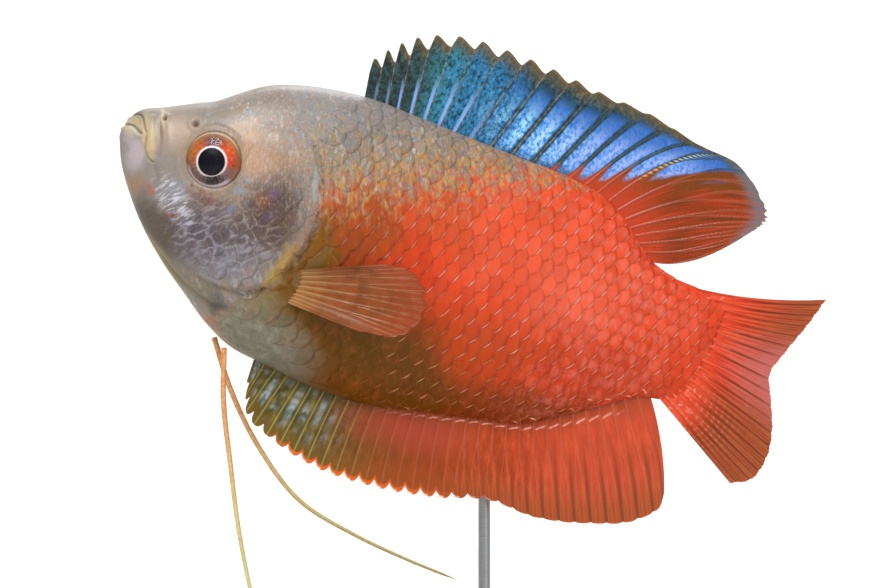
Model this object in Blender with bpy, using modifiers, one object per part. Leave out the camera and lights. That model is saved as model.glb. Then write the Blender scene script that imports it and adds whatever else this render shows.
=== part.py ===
"""Dwarf gourami, a still life-size model held by a display stand.

The fish is shaped in its own frame, in millimetres: u runs aft from the snout,
y to the fish's right and w up, square to its axis. One parent empty then pitches
the whole fish nose up and lifts it over the stand.
"""

import math

import bmesh
import bpy
from mathutils import Matrix, Vector

MM = 0.001

# Pose of the fish, and the gap between neighbouring pieces
PITCH = math.radians(20)
SNOUT_X = -35.25
SNOUT_Z = 57.7
GAP = 0.3
HALF_GAP = GAP / 2

# Body seen from the side: (u, w) along the back and along the belly
BODY_LENGTH = 60.5
BACK = [(0, 0.2), (0.35, 2.0), (1.3, 3.3), (3.4, 4.35), (6.5, 5.95), (8.1, 6.75), (9.8, 8.1), (12.1, 9.75),
        (15.2, 11.0), (18.5, 11.75), (22.0, 12.2), (28.0, 12.1), (38.0, 11.75), (44.0, 11.6), (48.0, 10.9),
        (50.6, 9.6), (52.4, 8.1), (54.3, 6.7), (57.0, 5.8), (60.5, 5.45)]
BELLY = [(0, 0.2), (0.3, -0.75), (1.1, -2.5), (2.3, -4.3), (5.0, -7.5), (8.1, -10.3), (11.5, -12.7),
         (14.8, -14.9), (17.8, -16.2), (21.8, -16.7), (27.1, -17.2), (33.0, -16.9), (38.0, -15.8),
         (44.0, -14.4), (48.2, -13.3), (52.0, -10.9), (55.1, -8.8), (57.6, -7.1), (60.5, -6.3)]

# Cross section: level of the widest point, half the width there, and how square it is above and below
LEVEL = [(0, 0.2), (3, -0.4), (8, -1.2), (16, -1.8), (28, -1.6), (42, -1.2), (52, -0.9), (60.5, -0.5)]
HALF_WIDTH = [(0, 0.0), (0.5, 1.15), (1.5, 1.95), (3, 2.75), (5, 3.6), (8, 4.6), (12, 5.4), (17, 5.9),
              (22, 5.9), (28, 5.7), (35, 5.1), (42, 4.2), (50, 3.0), (56, 2.0), (60.5, 1.0)]
SQUARE_ABOVE = [(0, 2.0), (8, 2.2), (16, 2.1), (26, 1.85), (44, 1.65), (60.5, 1.7)]
SQUARE_BELOW = [(0, 2.0), (8, 2.0), (16, 2.15), (28, 1.95), (44, 1.65), (60.5, 1.7)]
STATIONS = 50
STATION_POWER = 1.6
RING_POINTS = 36
NOSE_START = 0.004

# Eyes: place from the side, size of the flattened ball, how far it stands out, and the rim round it
EYE = (9.9, 0.95)
EYE_RADIUS = 2.9
EYE_DEPTH = 1.4
EYE_PROUD = 0.65
EYE_TURN = math.radians(12)
ORBIT_RADIUS = 3.5
ORBIT_RIM = 0.25
ORBIT_WIDTH = 0.75

# Mouth, the edges of both jaws, the lips and the nostrils
MOUTH = [(-1.5, 1.2), (0.0, 1.2), (0.65, 1.45), (1.25, 1.45), (1.85, 1.15), (2.45, 0.85), (2.95, 0.5)]
JAW_GROOVE = [(3.05, -0.3), (3.5, -0.95), (4.35, -1.5)]
MAXILLA_REAR = [(4.85, -1.2), (4.8, -0.4), (4.5, 0.6), (3.9, 1.9), (3.3, 3.4), (2.9, 5.5)]
JAW_REAR = [(4.8, -2.1), (5.4, -2.9), (5.8, -3.9), (5.9, -4.9), (5.6, -6.2), (4.6, -9.5)]
LIP_RADIUS = 0.3
LIP_OFFSET = 0.5
LIP_END = 2.4
LIP_POINTS = 15
LIP_TAPER = 0.4
LIP_SEARCH = 0.001
NOSTRILS = [(3.9, 3.2), (7.1, 3.7)]
NOSTRIL_RADIUS = 0.3

# Gill covers, and the cut behind them that ends the head
HEAD_TOP = [(15.6, 14.5), (16.0, 11.5), (16.4, 9.2)]
GILL_REAR = [(17.3, 7.4), (19.1, 5.4), (20.6, 2.7), (21.5, 0.0), (21.7, -2.8), (21.2, -5.4), (20.2, -7.4),
             (18.9, -9.2), (17.6, -10.4)]
HEAD_BOTTOM = [(16.6, -12.0), (14.0, -13.2), (12.2, -16.0)]
GILL_LOWER = [(15.2, -10.7), (12.6, -10.5), (11.0, -9.8), (10.1, -8.8)]
GILL_FRONT = [(10.2, -7.5), (11.2, -5.4), (12.3, -2.8), (13.0, 0.0), (13.4, 3.0), (13.7, 5.4), (14.3, 6.9),
              (15.5, 7.7)]
POCKET_REAR = [(24.0, 9.1), (24.0, -9.6)]
GILL_THICK = 1.0
GILL_SWELL = 0.3
SWELL_SPAN = (13.0, 20.0)
CORE_SPAN = (6.0, 27.0)
SIDE_INNER = 1.5
SIDE_OUTER = 9.0
TAIL_CUT = 47.0
FAR_BACK = 16.0
FAR_BELLY = -21.0

# Fins: thickness, how deep the roots start inside the body, the rows of the sheet and the edge's notches
MEMBRANE = 0.5
RAY_THICK = 0.85
TIP_SHARE = 0.6
FIN_SINK = 0.9
FIN_ROWS = [0.0, 0.18, 0.58, 1.0]
RAY_SHOULDER = 0.2
SPINE_NOTCH = 0.1
SOFT_NOTCH = 0.03
SHOULDER_DROP = 0.02
SPAN_POINTS = 14

# Each fin: where it stands, its rays and its (u, w) margin, with the bow of its rays along u and along w
# over the share of the rays, and how far its edge waves to the side and how often. The dorsal rays
# stand close in front and wide apart in the middle: share of the rays, share of the base or the margin
EVEN = [(0, 0), (1, 1)]
FLAT = [(0, 0), (1, 0)]
DORSAL_SPAN = (22.0, 53.6)
DORSAL_RAYS = 24
DORSAL_SPINES = 16
DORSAL_MARGIN = [(21.3, 15.7), (22.6, 17.4), (24.6, 19.3), (28.8, 21.0), (34.0, 21.3), (38.8, 21.1),
                 (44.2, 20.5), (49.2, 20.2), (55.4, 18.9), (59.0, 18.5), (62.0, 16.7), (64.0, 14.2),
                 (62.4, 12.0)]
DORSAL_BOW = FLAT, [(0, 0), (0.5, 0.1), (0.6, 0.7), (0.7, 2.2), (0.82, 1.0), (1, -1.5)]
DORSAL_WAVE = 0.4, 5.0, 0.0
DORSAL_ROOTS = [(0, 0), (0.17, 0.15), (0.35, 0.345), (0.565, 0.66), (0.7, 0.8), (1, 1)]
DORSAL_TIPS = [(0, 0), (0.17, 0.133), (0.35, 0.337), (0.565, 0.6), (0.65, 0.72), (0.74, 0.86), (1, 1)]
ANAL_SPAN = (20.4, 58.6)
ANAL_RAYS = 32
ANAL_SPINES = 17
ANAL_MARGIN = [(20.5, -18.6), (21.6, -21.8), (25.0, -23.4), (30.0, -24.5), (35.2, -24.4), (42.2, -23.2),
               (47.6, -21.6), (51.8, -21.7), (57.6, -20.4), (62.0, -18.4), (63.7, -16.3), (63.6, -15.0)]
ANAL_BOW = [(0, 0), (0.8, 0), (1, 0.5)], FLAT
ANAL_WAVE = 0.4, 6.0, 2.0
CAUDAL_BASE = [(59.6, 5.4), (60.0, 2.5), (60.1, -0.6), (60.0, -3.6), (59.8, -6.2)]
CAUDAL_RAYS = 18
CAUDAL_MARGIN = [(72.3, 8.8), (71.5, 6.0), (70.2, 2.3), (69.5, -0.2), (70.4, -2.4), (71.6, -5.4),
                 (72.0, -8.0), (71.2, -10.8), (69.4, -11.8)]
CAUDAL_BOW = FLAT, [(0, -0.5), (0.4, 0), (1, 0)]
CAUDAL_WAVE = 0.8, 3.0, 1.5
PECTORAL_BASE = [(20.9, -6.9), (21.1, -8.4), (21.5, -9.9)]
PECTORAL_RAYS = 10
PECTORAL_MARGIN = [(29.6, -3.0), (32.4, -2.8), (34.3, -4.2), (34.9, -6.6), (33.8, -8.9), (29.5, -10.1)]
PECTORAL_REACH = 3.2
PECTORAL_SLANT = 0.3

# Pelvic feelers: roots on the breast, then (x, z) of the route over the stand, and y where it ends
FEELER_RADIUS = 0.28
FEELER_TIP = 0.6
FEELER_LENGTHS = 3
FEELER_POINTS = 10
FEELER_ROOT_Y = 1.2
FEELERS = {
    "right": {
        "root": 15.9, "end_y": 5.5, "side": 1,
        "route": [(-24.2, 32.6), (-21.3, 26.5), (-17.15, 21.0), (-11.8, 17.6), (-6.4, 15.0), (-1.4, 12.9)],
    },
    "left": {
        "root": 17.3, "end_y": -13.0, "side": -1,
        "route": [(-24.6, 31.2), (-23.85, 24.9), (-22.9, 18.3), (-21.6, 12.4), (-20.3, 8.4), (-18.6, 5.4)],
    },
}

# Display stand
BASE_X = -6.0
BASE_LENGTH = 58.0
BASE_DEPTH = 36.0
BASE_HEIGHT = 4.0
BASE_BEVEL = 0.8
BASE_SIDES = 56
ROD_X = 1.4
ROD_Y = 2.5
ROD_RADIUS = 0.6
ROD_TOP = 38.0
ROD_SIDES = 20

# Surface of each piece: red, green, blue, roughness and how metallic it is
FINISHES = {
    "head": (0.34, 0.27, 0.25, 0.4, 0.0),
    "jaw": (0.52, 0.44, 0.33, 0.4, 0.0),
    "gill_cover": (0.22, 0.15, 0.17, 0.35, 0.1),
    "eye": (0.05, 0.02, 0.02, 0.08, 0.0),
    "flank": (0.83, 0.14, 0.06, 0.38, 0.0),
    "dorsal": (0.10, 0.33, 0.62, 0.35, 0.0),
    "red_fin": (0.78, 0.12, 0.05, 0.4, 0.0),
    "pectoral": (0.55, 0.28, 0.18, 0.4, 0.0),
    "feeler": (0.52, 0.36, 0.20, 0.5, 0.0),
    "base": (0.02, 0.02, 0.022, 0.3, 0.0),
    "rod": (0.6, 0.6, 0.62, 0.25, 1.0),
}


def smooth(points, x):
    """Read a smooth curve through (x, value) points."""
    last = len(points) - 1
    x = min(max(x, points[0][0]), points[last][0])
    i = 0
    while i < last - 1 and x > points[i + 1][0]:
        i += 1
    slopes = [(b[1] - a[1]) / (b[0] - a[0]) for a, b in zip(points, points[1:])]

    def tangent(k):
        if k in (0, last):
            return slopes[min(k, last - 1)]
        before = points[k][0] - points[k - 1][0]
        after = points[k + 1][0] - points[k][0]
        return (after * slopes[k - 1] + before * slopes[k]) / (before + after)

    span = points[i + 1][0] - points[i][0]
    t = (x - points[i][0]) / span
    ease = t * t * (3 - 2 * t)
    bend = span * t * (1 - t) * ((1 - t) * tangent(i) - t * tangent(i + 1))
    return points[i][1] * (1 - ease) + points[i + 1][1] * ease + bend


def outline(points, u):
    """Read an outline that runs square across the snout's tip."""
    return smooth([(math.sqrt(a), b) for a, b in points], math.sqrt(max(u, 0)))


def curve_at(points, fraction):
    """Point at a fraction of the way along a smooth curve through points."""
    lengths = [0.0]
    for a, b in zip(points, points[1:]):
        lengths.append(lengths[-1] + math.dist(a, b))
    s = fraction * lengths[-1]
    return [smooth(list(zip(lengths, axis)), s) for axis in zip(*points)]


def ramp(x, start, end):
    """Rise smoothly from 0 at start to 1 at end."""
    t = min(max((x - start) / (end - start), 0), 1)
    return t * t * (3 - 2 * t)


def section(u, inset):
    """Top, bottom, widest level and half width at u, pulled in by inset."""
    top = outline(BACK, u) - inset
    bottom = outline(BELLY, u) + inset
    return top, bottom, smooth(LEVEL, u), outline(HALF_WIDTH, u) - inset


def half_width_at(u, w):
    """Half the body's width at the height w."""
    top, bottom, level, half = section(u, 0)
    square = smooth(SQUARE_ABOVE if w > level else SQUARE_BELOW, u)
    reach = (top if w > level else bottom) - level
    share = min(abs((w - level) / reach), 1)
    return half * (1 - share ** square) ** (1 / square)


def belly_at(u, y):
    """Height of the body's underside at the distance y from its middle."""
    _, bottom, level, half = section(u, 0)
    square = smooth(SQUARE_BELOW, u)
    return level + (bottom - level) * (1 - abs(y / half) ** square) ** (1 / square)


def orbit_rim(u, w):
    """How far the low rim round the eye stands out."""
    distance = math.hypot(u - EYE[0], w - EYE[1])
    return ORBIT_RIM * math.exp(-((distance - ORBIT_RADIUS) / ORBIT_WIDTH) ** 2)


def ring(u, inset):
    """One cross section of the body as a ring of points."""
    top, bottom, level, half = section(u, inset)
    points = []
    for k in range(RING_POINTS):
        angle = 2 * math.pi * k / RING_POINTS
        across, up = math.sin(angle), math.cos(angle)
        square = smooth(SQUARE_ABOVE if up > 0 else SQUARE_BELOW, u)
        reach = (top if up > 0 else bottom) - level
        w = level + reach * abs(up) ** (2 / square)
        y = half * abs(across) ** (2 / square) + orbit_rim(u, w) * abs(across)
        points.append(Vector((u, math.copysign(y, across), w)) * MM)
    return points


def body_loft(name, inset=0.0, start=NOSE_START, end=BODY_LENGTH):
    """Closed loft of the body; inset is a distance, or a function of u."""
    bm = bmesh.new()
    rings = []
    for k in range(STATIONS + 1):
        u = start + (end - start) * (k / STATIONS) ** STATION_POWER
        depth = inset(u) if callable(inset) else inset
        rings.append([bm.verts.new(point) for point in ring(u, depth)])
    for front, rear in zip(rings, rings[1:]):
        for k in range(RING_POINTS):
            n = (k + 1) % RING_POINTS
            bm.faces.new((front[k], front[n], rear[n], rear[k]))
    bm.faces.new(reversed(rings[0]))
    bm.faces.new(rings[-1])
    bmesh.ops.recalc_face_normals(bm, faces=bm.faces)
    return add_mesh(name, bm)


def new_collection(name):
    collection = bpy.data.collections.new(name)
    bpy.context.scene.collection.children.link(collection)
    return collection


def add_mesh(name, bm):
    """Turn a bmesh into an object among the cutters, where work starts."""
    mesh = bpy.data.meshes.new(name)
    bm.to_mesh(mesh)
    bm.free()
    return add_cutter(name, mesh)


def add_cutter(name, data):
    obj = bpy.data.objects.new(name, data)
    obj.hide_render = True
    obj.display_type = "WIRE"
    cutters.objects.link(obj)
    return obj


def copy_of(obj, name):
    twin = obj.copy()
    twin.data = obj.data.copy()
    twin.name = name
    cutters.objects.link(twin)
    return twin


def evaluated_mesh(obj):
    depsgraph = bpy.context.evaluated_depsgraph_get()
    return bpy.data.meshes.new_from_object(obj.evaluated_get(depsgraph))


def keep_largest(mesh):
    """Keep only the largest closed surface of a mesh."""
    bm = bmesh.new()
    bm.from_mesh(mesh)
    unseen = set(bm.faces)
    surfaces = []
    while unseen:
        surface = {unseen.pop()}
        edge_of_search = list(surface)
        while edge_of_search:
            face = edge_of_search.pop()
            near = {other for edge in face.edges for other in edge.link_faces}
            fresh = near & unseen
            unseen -= fresh
            surface |= fresh
            edge_of_search.extend(fresh)
        surfaces.append(surface)
    surfaces.sort(key=lambda faces: sum(face.calc_area() for face in faces))
    loose = [face for surface in surfaces[:-1] for face in surface]
    bmesh.ops.delete(bm, geom=loose, context="FACES")
    bm.to_mesh(mesh)
    bm.free()


def combine(obj, tool, operation):
    """Apply one Boolean and keep the largest closed surface that it leaves."""
    modifier = obj.modifiers.new(operation.title(), "BOOLEAN")
    modifier.operation = operation
    modifier.object = tool
    settle(obj)


def settle(obj):
    """Apply an object's modifiers."""
    mesh = evaluated_mesh(obj)
    obj.modifiers.clear()
    obj.data = mesh
    keep_largest(mesh)


def remove(*objects):
    for obj in objects:
        bpy.data.objects.remove(obj, do_unlink=True)


def solid_of_curve(curve):
    """Make a curve object a closed mesh object with welded caps."""
    mesh = evaluated_mesh(curve)
    bm = bmesh.new()
    bm.from_mesh(mesh)
    bmesh.ops.remove_doubles(bm, verts=bm.verts, dist=0.0001 * MM)
    bmesh.ops.recalc_face_normals(bm, faces=bm.faces)
    bm.to_mesh(mesh)
    bm.free()
    solid = add_cutter(curve.name + "_solid", mesh)
    solid.matrix_world = curve.matrix_world
    remove(curve)
    return solid


def shifted(points, distance):
    """Closed outline moved inward by distance, or outward where it is negative."""
    turn = sum(a[0] * b[1] - b[0] * a[1] for a, b in zip(points, points[1:] + points[:1]))
    side = distance if turn > 0 else -distance
    moved = []
    for before, point, after in zip(points[-1:] + points[:-1], points, points[1:] + points[:1]):
        first = (Vector(point) - Vector(before)).normalized()
        second = (Vector(after) - Vector(point)).normalized()
        bisector = Vector((-first.y - second.y, first.x + second.x)).normalized()
        spread = max(bisector.dot(Vector((-first.y, first.x))), 0.5)
        moved.append(Vector(point) + bisector * side / spread)
    return moved


def prism(name, points, near=-SIDE_OUTER, far=SIDE_OUTER):
    """Solid of a (u, w) outline, reaching across the fish from near to far."""
    curve = bpy.data.curves.new(name, "CURVE")
    curve.dimensions = "2D"
    curve.fill_mode = "BOTH"
    curve.extrude = (far - near) / 2 * MM
    spline = curve.splines.new("POLY")
    spline.points.add(len(points) - 1)
    for target, (u, w) in zip(spline.points, points):
        target.co = (u * MM, w * MM, 0, 1)
    spline.use_cyclic_u = True
    flat = add_cutter(name, curve)
    middle = Matrix.Translation((0, (near + far) / 2 * MM, 0))
    flat.matrix_world = middle @ Matrix.Rotation(math.pi / 2, 4, "X")
    bpy.context.view_layer.update()
    return solid_of_curve(flat)


def ball(name, centre, radii, turn=0.0, segments=20, rings=12):
    """Ellipsoid with its poles to the fish's sides, turned about the vertical."""
    bm = bmesh.new()
    bmesh.ops.create_uvsphere(bm, u_segments=segments, v_segments=rings, radius=1)
    shape = (Matrix.Translation(Vector(centre) * MM) @ Matrix.Rotation(turn, 4, "Z")
             @ Matrix.Diagonal((*(r * MM for r in radii), 1)) @ Matrix.Rotation(math.pi / 2, 4, "X"))
    bmesh.ops.transform(bm, matrix=shape, verts=bm.verts)
    return add_mesh(name, bm)


def tube(name, points, radius, radii=None):
    """Round rod through points in mm, as a curve with filled caps."""
    curve = bpy.data.curves.new(name, "CURVE")
    curve.dimensions = "3D"
    curve.bevel_depth = radius * MM
    curve.bevel_resolution = 2
    curve.use_fill_caps = True
    spline = curve.splines.new("POLY")
    spline.points.add(len(points) - 1)
    for k, point in enumerate(points):
        spline.points[k].co = (*(Vector(point) * MM), 1)
        spline.points[k].radius = radii[k] if radii else 1.0
    return add_cutter(name, curve)


def region_of_body(name, body, points):
    """Piece of the body inside an outline, drawn in from it by half a gap."""
    piece = copy_of(body, name)
    cutter = prism(name + "_region", shifted(points, HALF_GAP))
    combine(piece, cutter, "INTERSECT")
    remove(cutter)
    return piece


def lip(name, offset):
    """Rounded lip that follows the mouth from one corner round to the other."""
    front, rear = NOSE_START, LIP_END
    while rear - front > LIP_SEARCH:
        middle = (front + rear) / 2
        if half_width_at(middle, smooth(MOUTH, middle) + offset) > 0:
            rear = middle
        else:
            front = middle
    points, radii = [], []
    for k in range(LIP_POINTS):
        v = 2 * k / (LIP_POINTS - 1) - 1
        u = rear + (LIP_END - rear) * v * v
        w = smooth(MOUTH, u) + offset
        points.append((u, math.copysign(half_width_at(u, w), v) if abs(v) > LIP_SEARCH else 0.0, w))
        radii.append(1 - (1 - LIP_TAPER) * v ** 4)
    return solid_of_curve(tube(name, points, LIP_RADIUS, radii))


def build_jaws(body):
    """Upper jaw with its maxilla, and lower jaw, each with its lip."""
    upper = region_of_body("upper_jaw", body, MOUTH + JAW_GROOVE + MAXILLA_REAR + [(-1.5, 5.5)])
    lower = region_of_body("lower_jaw", body, MOUTH + JAW_GROOVE + JAW_REAR + [(-1.5, -9.5)])
    for jaw, offset in ((upper, LIP_OFFSET), (lower, -LIP_OFFSET)):
        soft = lip(jaw.name + "_lip", offset)
        combine(jaw, soft, "UNION")
        remove(soft)
    return [upper, lower]


def side_place(u, w, side, proud=0.0):
    """Point on the body's side, or outside it by proud."""
    return u, side * (half_width_at(u, w) + proud), w


def build_eyes(head):
    """Eyes, each set in a socket that is cut into the head."""
    eyes = []
    for label, side in (("left", -1), ("right", 1)):
        centre = side_place(*EYE, side, EYE_PROUD - EYE_DEPTH)
        turn = side * EYE_TURN
        eyes.append(ball("eye_" + label, centre, (EYE_RADIUS, EYE_DEPTH, EYE_RADIUS), turn))
        socket = ball("socket", centre, (EYE_RADIUS + GAP, EYE_DEPTH + GAP, EYE_RADIUS + GAP), turn)
        combine(head, socket, "DIFFERENCE")
        remove(socket)
    return eyes


def open_nostrils(head):
    for u, w in NOSTRILS:
        for side in (-1, 1):
            pit = ball("nostril", side_place(u, w, side), (NOSTRIL_RADIUS,) * 3, segments=10, rings=6)
            combine(head, pit, "DIFFERENCE")
            remove(pit)


def build_gill_covers(head):
    """Gill covers, each a plate that lies in a pocket of the head."""
    plate_outline = shifted(GILL_REAR + GILL_LOWER + GILL_FRONT, HALF_GAP)
    pocket_outline = shifted(POCKET_REAR + GILL_LOWER + GILL_FRONT, -HALF_GAP)
    outer = body_loft("gill_outer", lambda u: -GILL_SWELL * ramp(u, *SWELL_SPAN), *CORE_SPAN)
    plate_core = body_loft("plate_core", GILL_THICK, *CORE_SPAN)
    pocket_core = body_loft("pocket_core", GILL_THICK + GAP, *CORE_SPAN)
    covers = []
    for label, side in (("left", -1), ("right", 1)):
        near, far = sorted((side * SIDE_INNER, side * SIDE_OUTER))
        plate = prism("gill_cover_" + label, plate_outline, near, far)
        plate.name = "gill_cover_" + label
        combine(plate, outer, "INTERSECT")
        combine(plate, plate_core, "DIFFERENCE")
        pocket = prism("pocket", pocket_outline, near, far)
        combine(pocket, pocket_core, "DIFFERENCE")
        combine(head, pocket, "DIFFERENCE")
        remove(pocket)
        covers.append(plate)
    remove(outer, plate_core, pocket_core)
    return covers


def build_head(body):
    front = list(reversed(MAXILLA_REAR)) + JAW_GROOVE[-1:] + JAW_REAR
    rear = list(reversed(HEAD_TOP + GILL_REAR + HEAD_BOTTOM))
    head = region_of_body("head", body, front + [(4.6, FAR_BELLY)] + rear + [(2.9, FAR_BACK)])
    eyes = build_eyes(head)
    open_nostrils(head)
    return [head] + eyes + build_gill_covers(head)


def build_trunk(body):
    front = HEAD_TOP + GILL_REAR + HEAD_BOTTOM
    rear = [(12.2, FAR_BELLY), (TAIL_CUT, FAR_BELLY), (TAIL_CUT, FAR_BACK)]
    trunk = region_of_body("trunk", body, front + rear)
    end = BODY_LENGTH + 2
    stalk_region = [(TAIL_CUT, FAR_BACK), (TAIL_CUT, FAR_BELLY), (end, FAR_BELLY), (end, FAR_BACK)]
    return [trunk, region_of_body("tail_stalk", body, stalk_region)]


def edge_points(points, span, sink):
    """Points along the body's outline, sunk below its surface by sink."""
    step = (span[1] - span[0]) / (SPAN_POINTS - 1)
    places = [span[0] + step * k for k in range(SPAN_POINTS)]
    return [(u, outline(points, u) - sink) for u in places]


def ray_columns(rays, spines):
    """Columns of a fin's sheet, each as its place along the fin, its reach and its thickness.

    A ray is a thick crest between two thin shoulders. Behind a spine's tip the margin
    slopes back to a notch at the foot of the next one, and a soft ray's notch is slight.
    """
    pitch = 1 / (rays - 1)
    columns = []
    for i in range(rays):
        notch = SPINE_NOTCH if i < spines else SOFT_NOTCH
        centre = i * pitch
        columns += [(centre - RAY_SHOULDER * pitch, 1 - notch, MEMBRANE), (centre, 1, RAY_THICK),
                    (centre + RAY_SHOULDER * pitch, 1 - SHOULDER_DROP, MEMBRANE)]
    return columns[1:-1]


def bowed(bow):
    """Bend of the rays at their middle, along u and along w."""
    return lambda along: [smooth(points, along) for points in bow]


def straight(along):
    return 0.0, 0.0


def waved(reach, turn, phase):
    """Sideways wave of a fin, which grows from its root to its margin."""
    return lambda along, out: reach * out * math.sin(turn * along + phase)


def fin(name, base, margin, columns, aside, limits, bow=straight, face=(0, 1, 0), spread=(EVEN, EVEN)):
    """Thin fin between a base line and a margin, trimmed clear of the body.

    aside(along, out) is how far the sheet leaves the middle plane, bow(along) how far
    a ray bends at its middle, face the direction in which the two sides lie apart, and
    spread where the columns stand on the base and on the margin.
    """
    bm = bmesh.new()
    last, rows = len(columns) - 1, len(FIN_ROWS) - 1
    bmesh.ops.create_grid(bm, x_segments=last, y_segments=rows, size=0.5)
    bmesh.ops.triangulate(bm, faces=bm.faces)
    thickness = bm.verts.layers.float.new("thickness")
    for vert in bm.verts:
        along, reach, thick = columns[round((vert.co.x + 0.5) * last)]
        out = FIN_ROWS[round((vert.co.y + 0.5) * rows)] * reach
        root_at, tip_at = (smooth(points, along) for points in spread)
        ends = zip(curve_at(base, root_at), curve_at(margin, tip_at), bow(along))
        u, w = (root + (tip - root) * out + bend * 4 * out * (1 - out) for root, tip, bend in ends)
        vert.co = Vector((u, aside(along, out), w)) * MM
        vert[thickness] = thick * (1 - (1 - TIP_SHARE) * out * out)
    near = list(bm.verts)
    made = bmesh.ops.extrude_face_region(bm, geom=bm.faces[:], use_keep_orig=True)
    far = [item for item in made["geom"] if isinstance(item, bmesh.types.BMVert)]
    for side, verts in ((-0.5, near), (0.5, far)):
        for vert in verts:
            vert.co += Vector(face).normalized() * side * vert[thickness] * MM
    bmesh.ops.recalc_face_normals(bm, faces=bm.faces)
    sheet = add_mesh(name, bm)
    combine(sheet, limits, "DIFFERENCE")
    return sheet


def pectoral_aside(side):
    """Path of a pectoral fin, which leaves the flank steeply and then lies back."""
    root_y = half_width_at(*PECTORAL_BASE[1]) - FIN_SINK

    def aside(along, out):
        return side * (root_y + (FIN_SINK + PECTORAL_REACH) * (1 - (1 - out) ** 2))

    return aside


def build_fins():
    """All the fins with rays; each keeps one gap to the body that it grows from."""
    limits = body_loft("fin_limits", -GAP, 12.0, BODY_LENGTH + GAP)
    dorsal = fin("dorsal_fin", edge_points(BACK, DORSAL_SPAN, FIN_SINK), DORSAL_MARGIN,
                 ray_columns(DORSAL_RAYS, DORSAL_SPINES), waved(*DORSAL_WAVE), limits, bowed(DORSAL_BOW),
                 spread=(DORSAL_ROOTS, DORSAL_TIPS))
    anal = fin("anal_fin", edge_points(BELLY, ANAL_SPAN, -FIN_SINK), ANAL_MARGIN,
               ray_columns(ANAL_RAYS, ANAL_SPINES), waved(*ANAL_WAVE), limits, bowed(ANAL_BOW))
    caudal = fin("caudal_fin", CAUDAL_BASE, CAUDAL_MARGIN,
                 ray_columns(CAUDAL_RAYS, 0), waved(*CAUDAL_WAVE), limits, bowed(CAUDAL_BOW))
    pectorals = []
    for label, side in (("left", -1), ("right", 1)):
        pectorals.append(fin("pectoral_fin_" + label, PECTORAL_BASE, PECTORAL_MARGIN,
                             ray_columns(PECTORAL_RAYS, 0), pectoral_aside(side), limits,
                             face=(-PECTORAL_SLANT, side, 0)))
    return [dorsal, anal, caudal] + pectorals, limits


def to_stand(point):
    """Fish frame to the stand's frame, both in mm."""
    return fish_matrix @ (Vector(point) * MM) / MM


def build_feelers():
    """Thread-like pelvic fins, each in a few lengths with a gap between them."""
    lengths = []
    for label, feeler in FEELERS.items():
        side = feeler["side"]
        root_y = side * FEELER_ROOT_Y
        root = to_stand((feeler["root"], root_y, belly_at(feeler["root"], root_y) - GAP))
        count = len(feeler["route"])
        route = [tuple(root)]
        for k, (x, z) in enumerate(feeler["route"], start=1):
            route.append((x, root_y + (feeler["end_y"] - root_y) * (k / count) ** 1.5, z))
        whole = sum(math.dist(a, b) for a, b in zip(route, route[1:]))
        for part in range(FEELER_LENGTHS):
            start = part / FEELER_LENGTHS + (HALF_GAP / whole if part else 0)
            end = (part + 1) / FEELER_LENGTHS - (HALF_GAP / whole if part < FEELER_LENGTHS - 1 else 0)
            places = [start + (end - start) * k / (FEELER_POINTS - 1) for k in range(FEELER_POINTS)]
            lengths.append(tube(f"pelvic_feeler_{label}_{part + 1}", [curve_at(route, s) for s in places],
                                FEELER_RADIUS, [1 - (1 - FEELER_TIP) * s ** 3 for s in places]))
    return lengths


def build_stand(limits):
    """Oval base, and one rod whose top is shaped to the body's underside."""
    bm = bmesh.new()
    bmesh.ops.create_cone(bm, cap_ends=True, segments=BASE_SIDES, radius1=0.5, radius2=0.5, depth=1)
    size = Matrix.Diagonal((BASE_LENGTH * MM, BASE_DEPTH * MM, BASE_HEIGHT * MM, 1))
    middle = Matrix.Translation(Vector((BASE_X, 0, BASE_HEIGHT / 2)) * MM)
    bmesh.ops.transform(bm, matrix=middle @ size, verts=bm.verts)
    base = add_mesh("stand_base", bm)
    bevel = base.modifiers.new("Edge", "BEVEL")
    bevel.width = BASE_BEVEL * MM
    bevel.segments = 2
    bevel.angle_limit = math.radians(40)
    settle(base)

    bm = bmesh.new()
    bottom = BASE_HEIGHT + GAP
    bmesh.ops.create_cone(bm, cap_ends=True, segments=ROD_SIDES, radius1=ROD_RADIUS * MM,
                          radius2=ROD_RADIUS * MM, depth=(ROD_TOP - bottom) * MM)
    bmesh.ops.translate(bm, vec=Vector((ROD_X, ROD_Y, (ROD_TOP + bottom) / 2)) * MM, verts=bm.verts)
    rod = add_mesh("stand_rod", bm)
    limits.matrix_world = fish_matrix
    combine(rod, limits, "DIFFERENCE")
    return [base, rod]


def finish(obj, look, parent=None):
    """Give a piece its material and place, and move it out of the cutters."""
    cutters.objects.unlink(obj)
    model.objects.link(obj)
    obj.hide_render = False
    obj.display_type = "TEXTURED"
    obj.parent = parent
    obj.data.name = obj.name
    obj.data.materials.clear()
    obj.data.materials.append(looks[look])
    if obj.type == "MESH":
        obj.data.shade_smooth()
        obj.data.set_sharp_from_angle(angle=math.radians(40))


def make_look(name, values):
    *colour, roughness, metallic = values
    material = bpy.data.materials.new(name)
    material.use_nodes = True
    shader = material.node_tree.nodes["Principled BSDF"]
    shader.inputs["Base Color"].default_value = (*colour, 1)
    shader.inputs["Roughness"].default_value = roughness
    shader.inputs["Metallic"].default_value = metallic
    return material


def look_of(name):
    """Name of the finish that a piece of the fish takes."""
    looks_by_start = {"upper_jaw": "jaw", "lower_jaw": "jaw", "gill": "gill_cover", "eye": "eye",
                      "head": "head", "dorsal": "dorsal", "anal": "red_fin", "caudal": "red_fin",
                      "pectoral": "pectoral"}
    return next((look for start, look in looks_by_start.items() if name.startswith(start)), "flank")


for leftover in list(bpy.data.objects):
    bpy.data.objects.remove(leftover, do_unlink=True)

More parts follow.
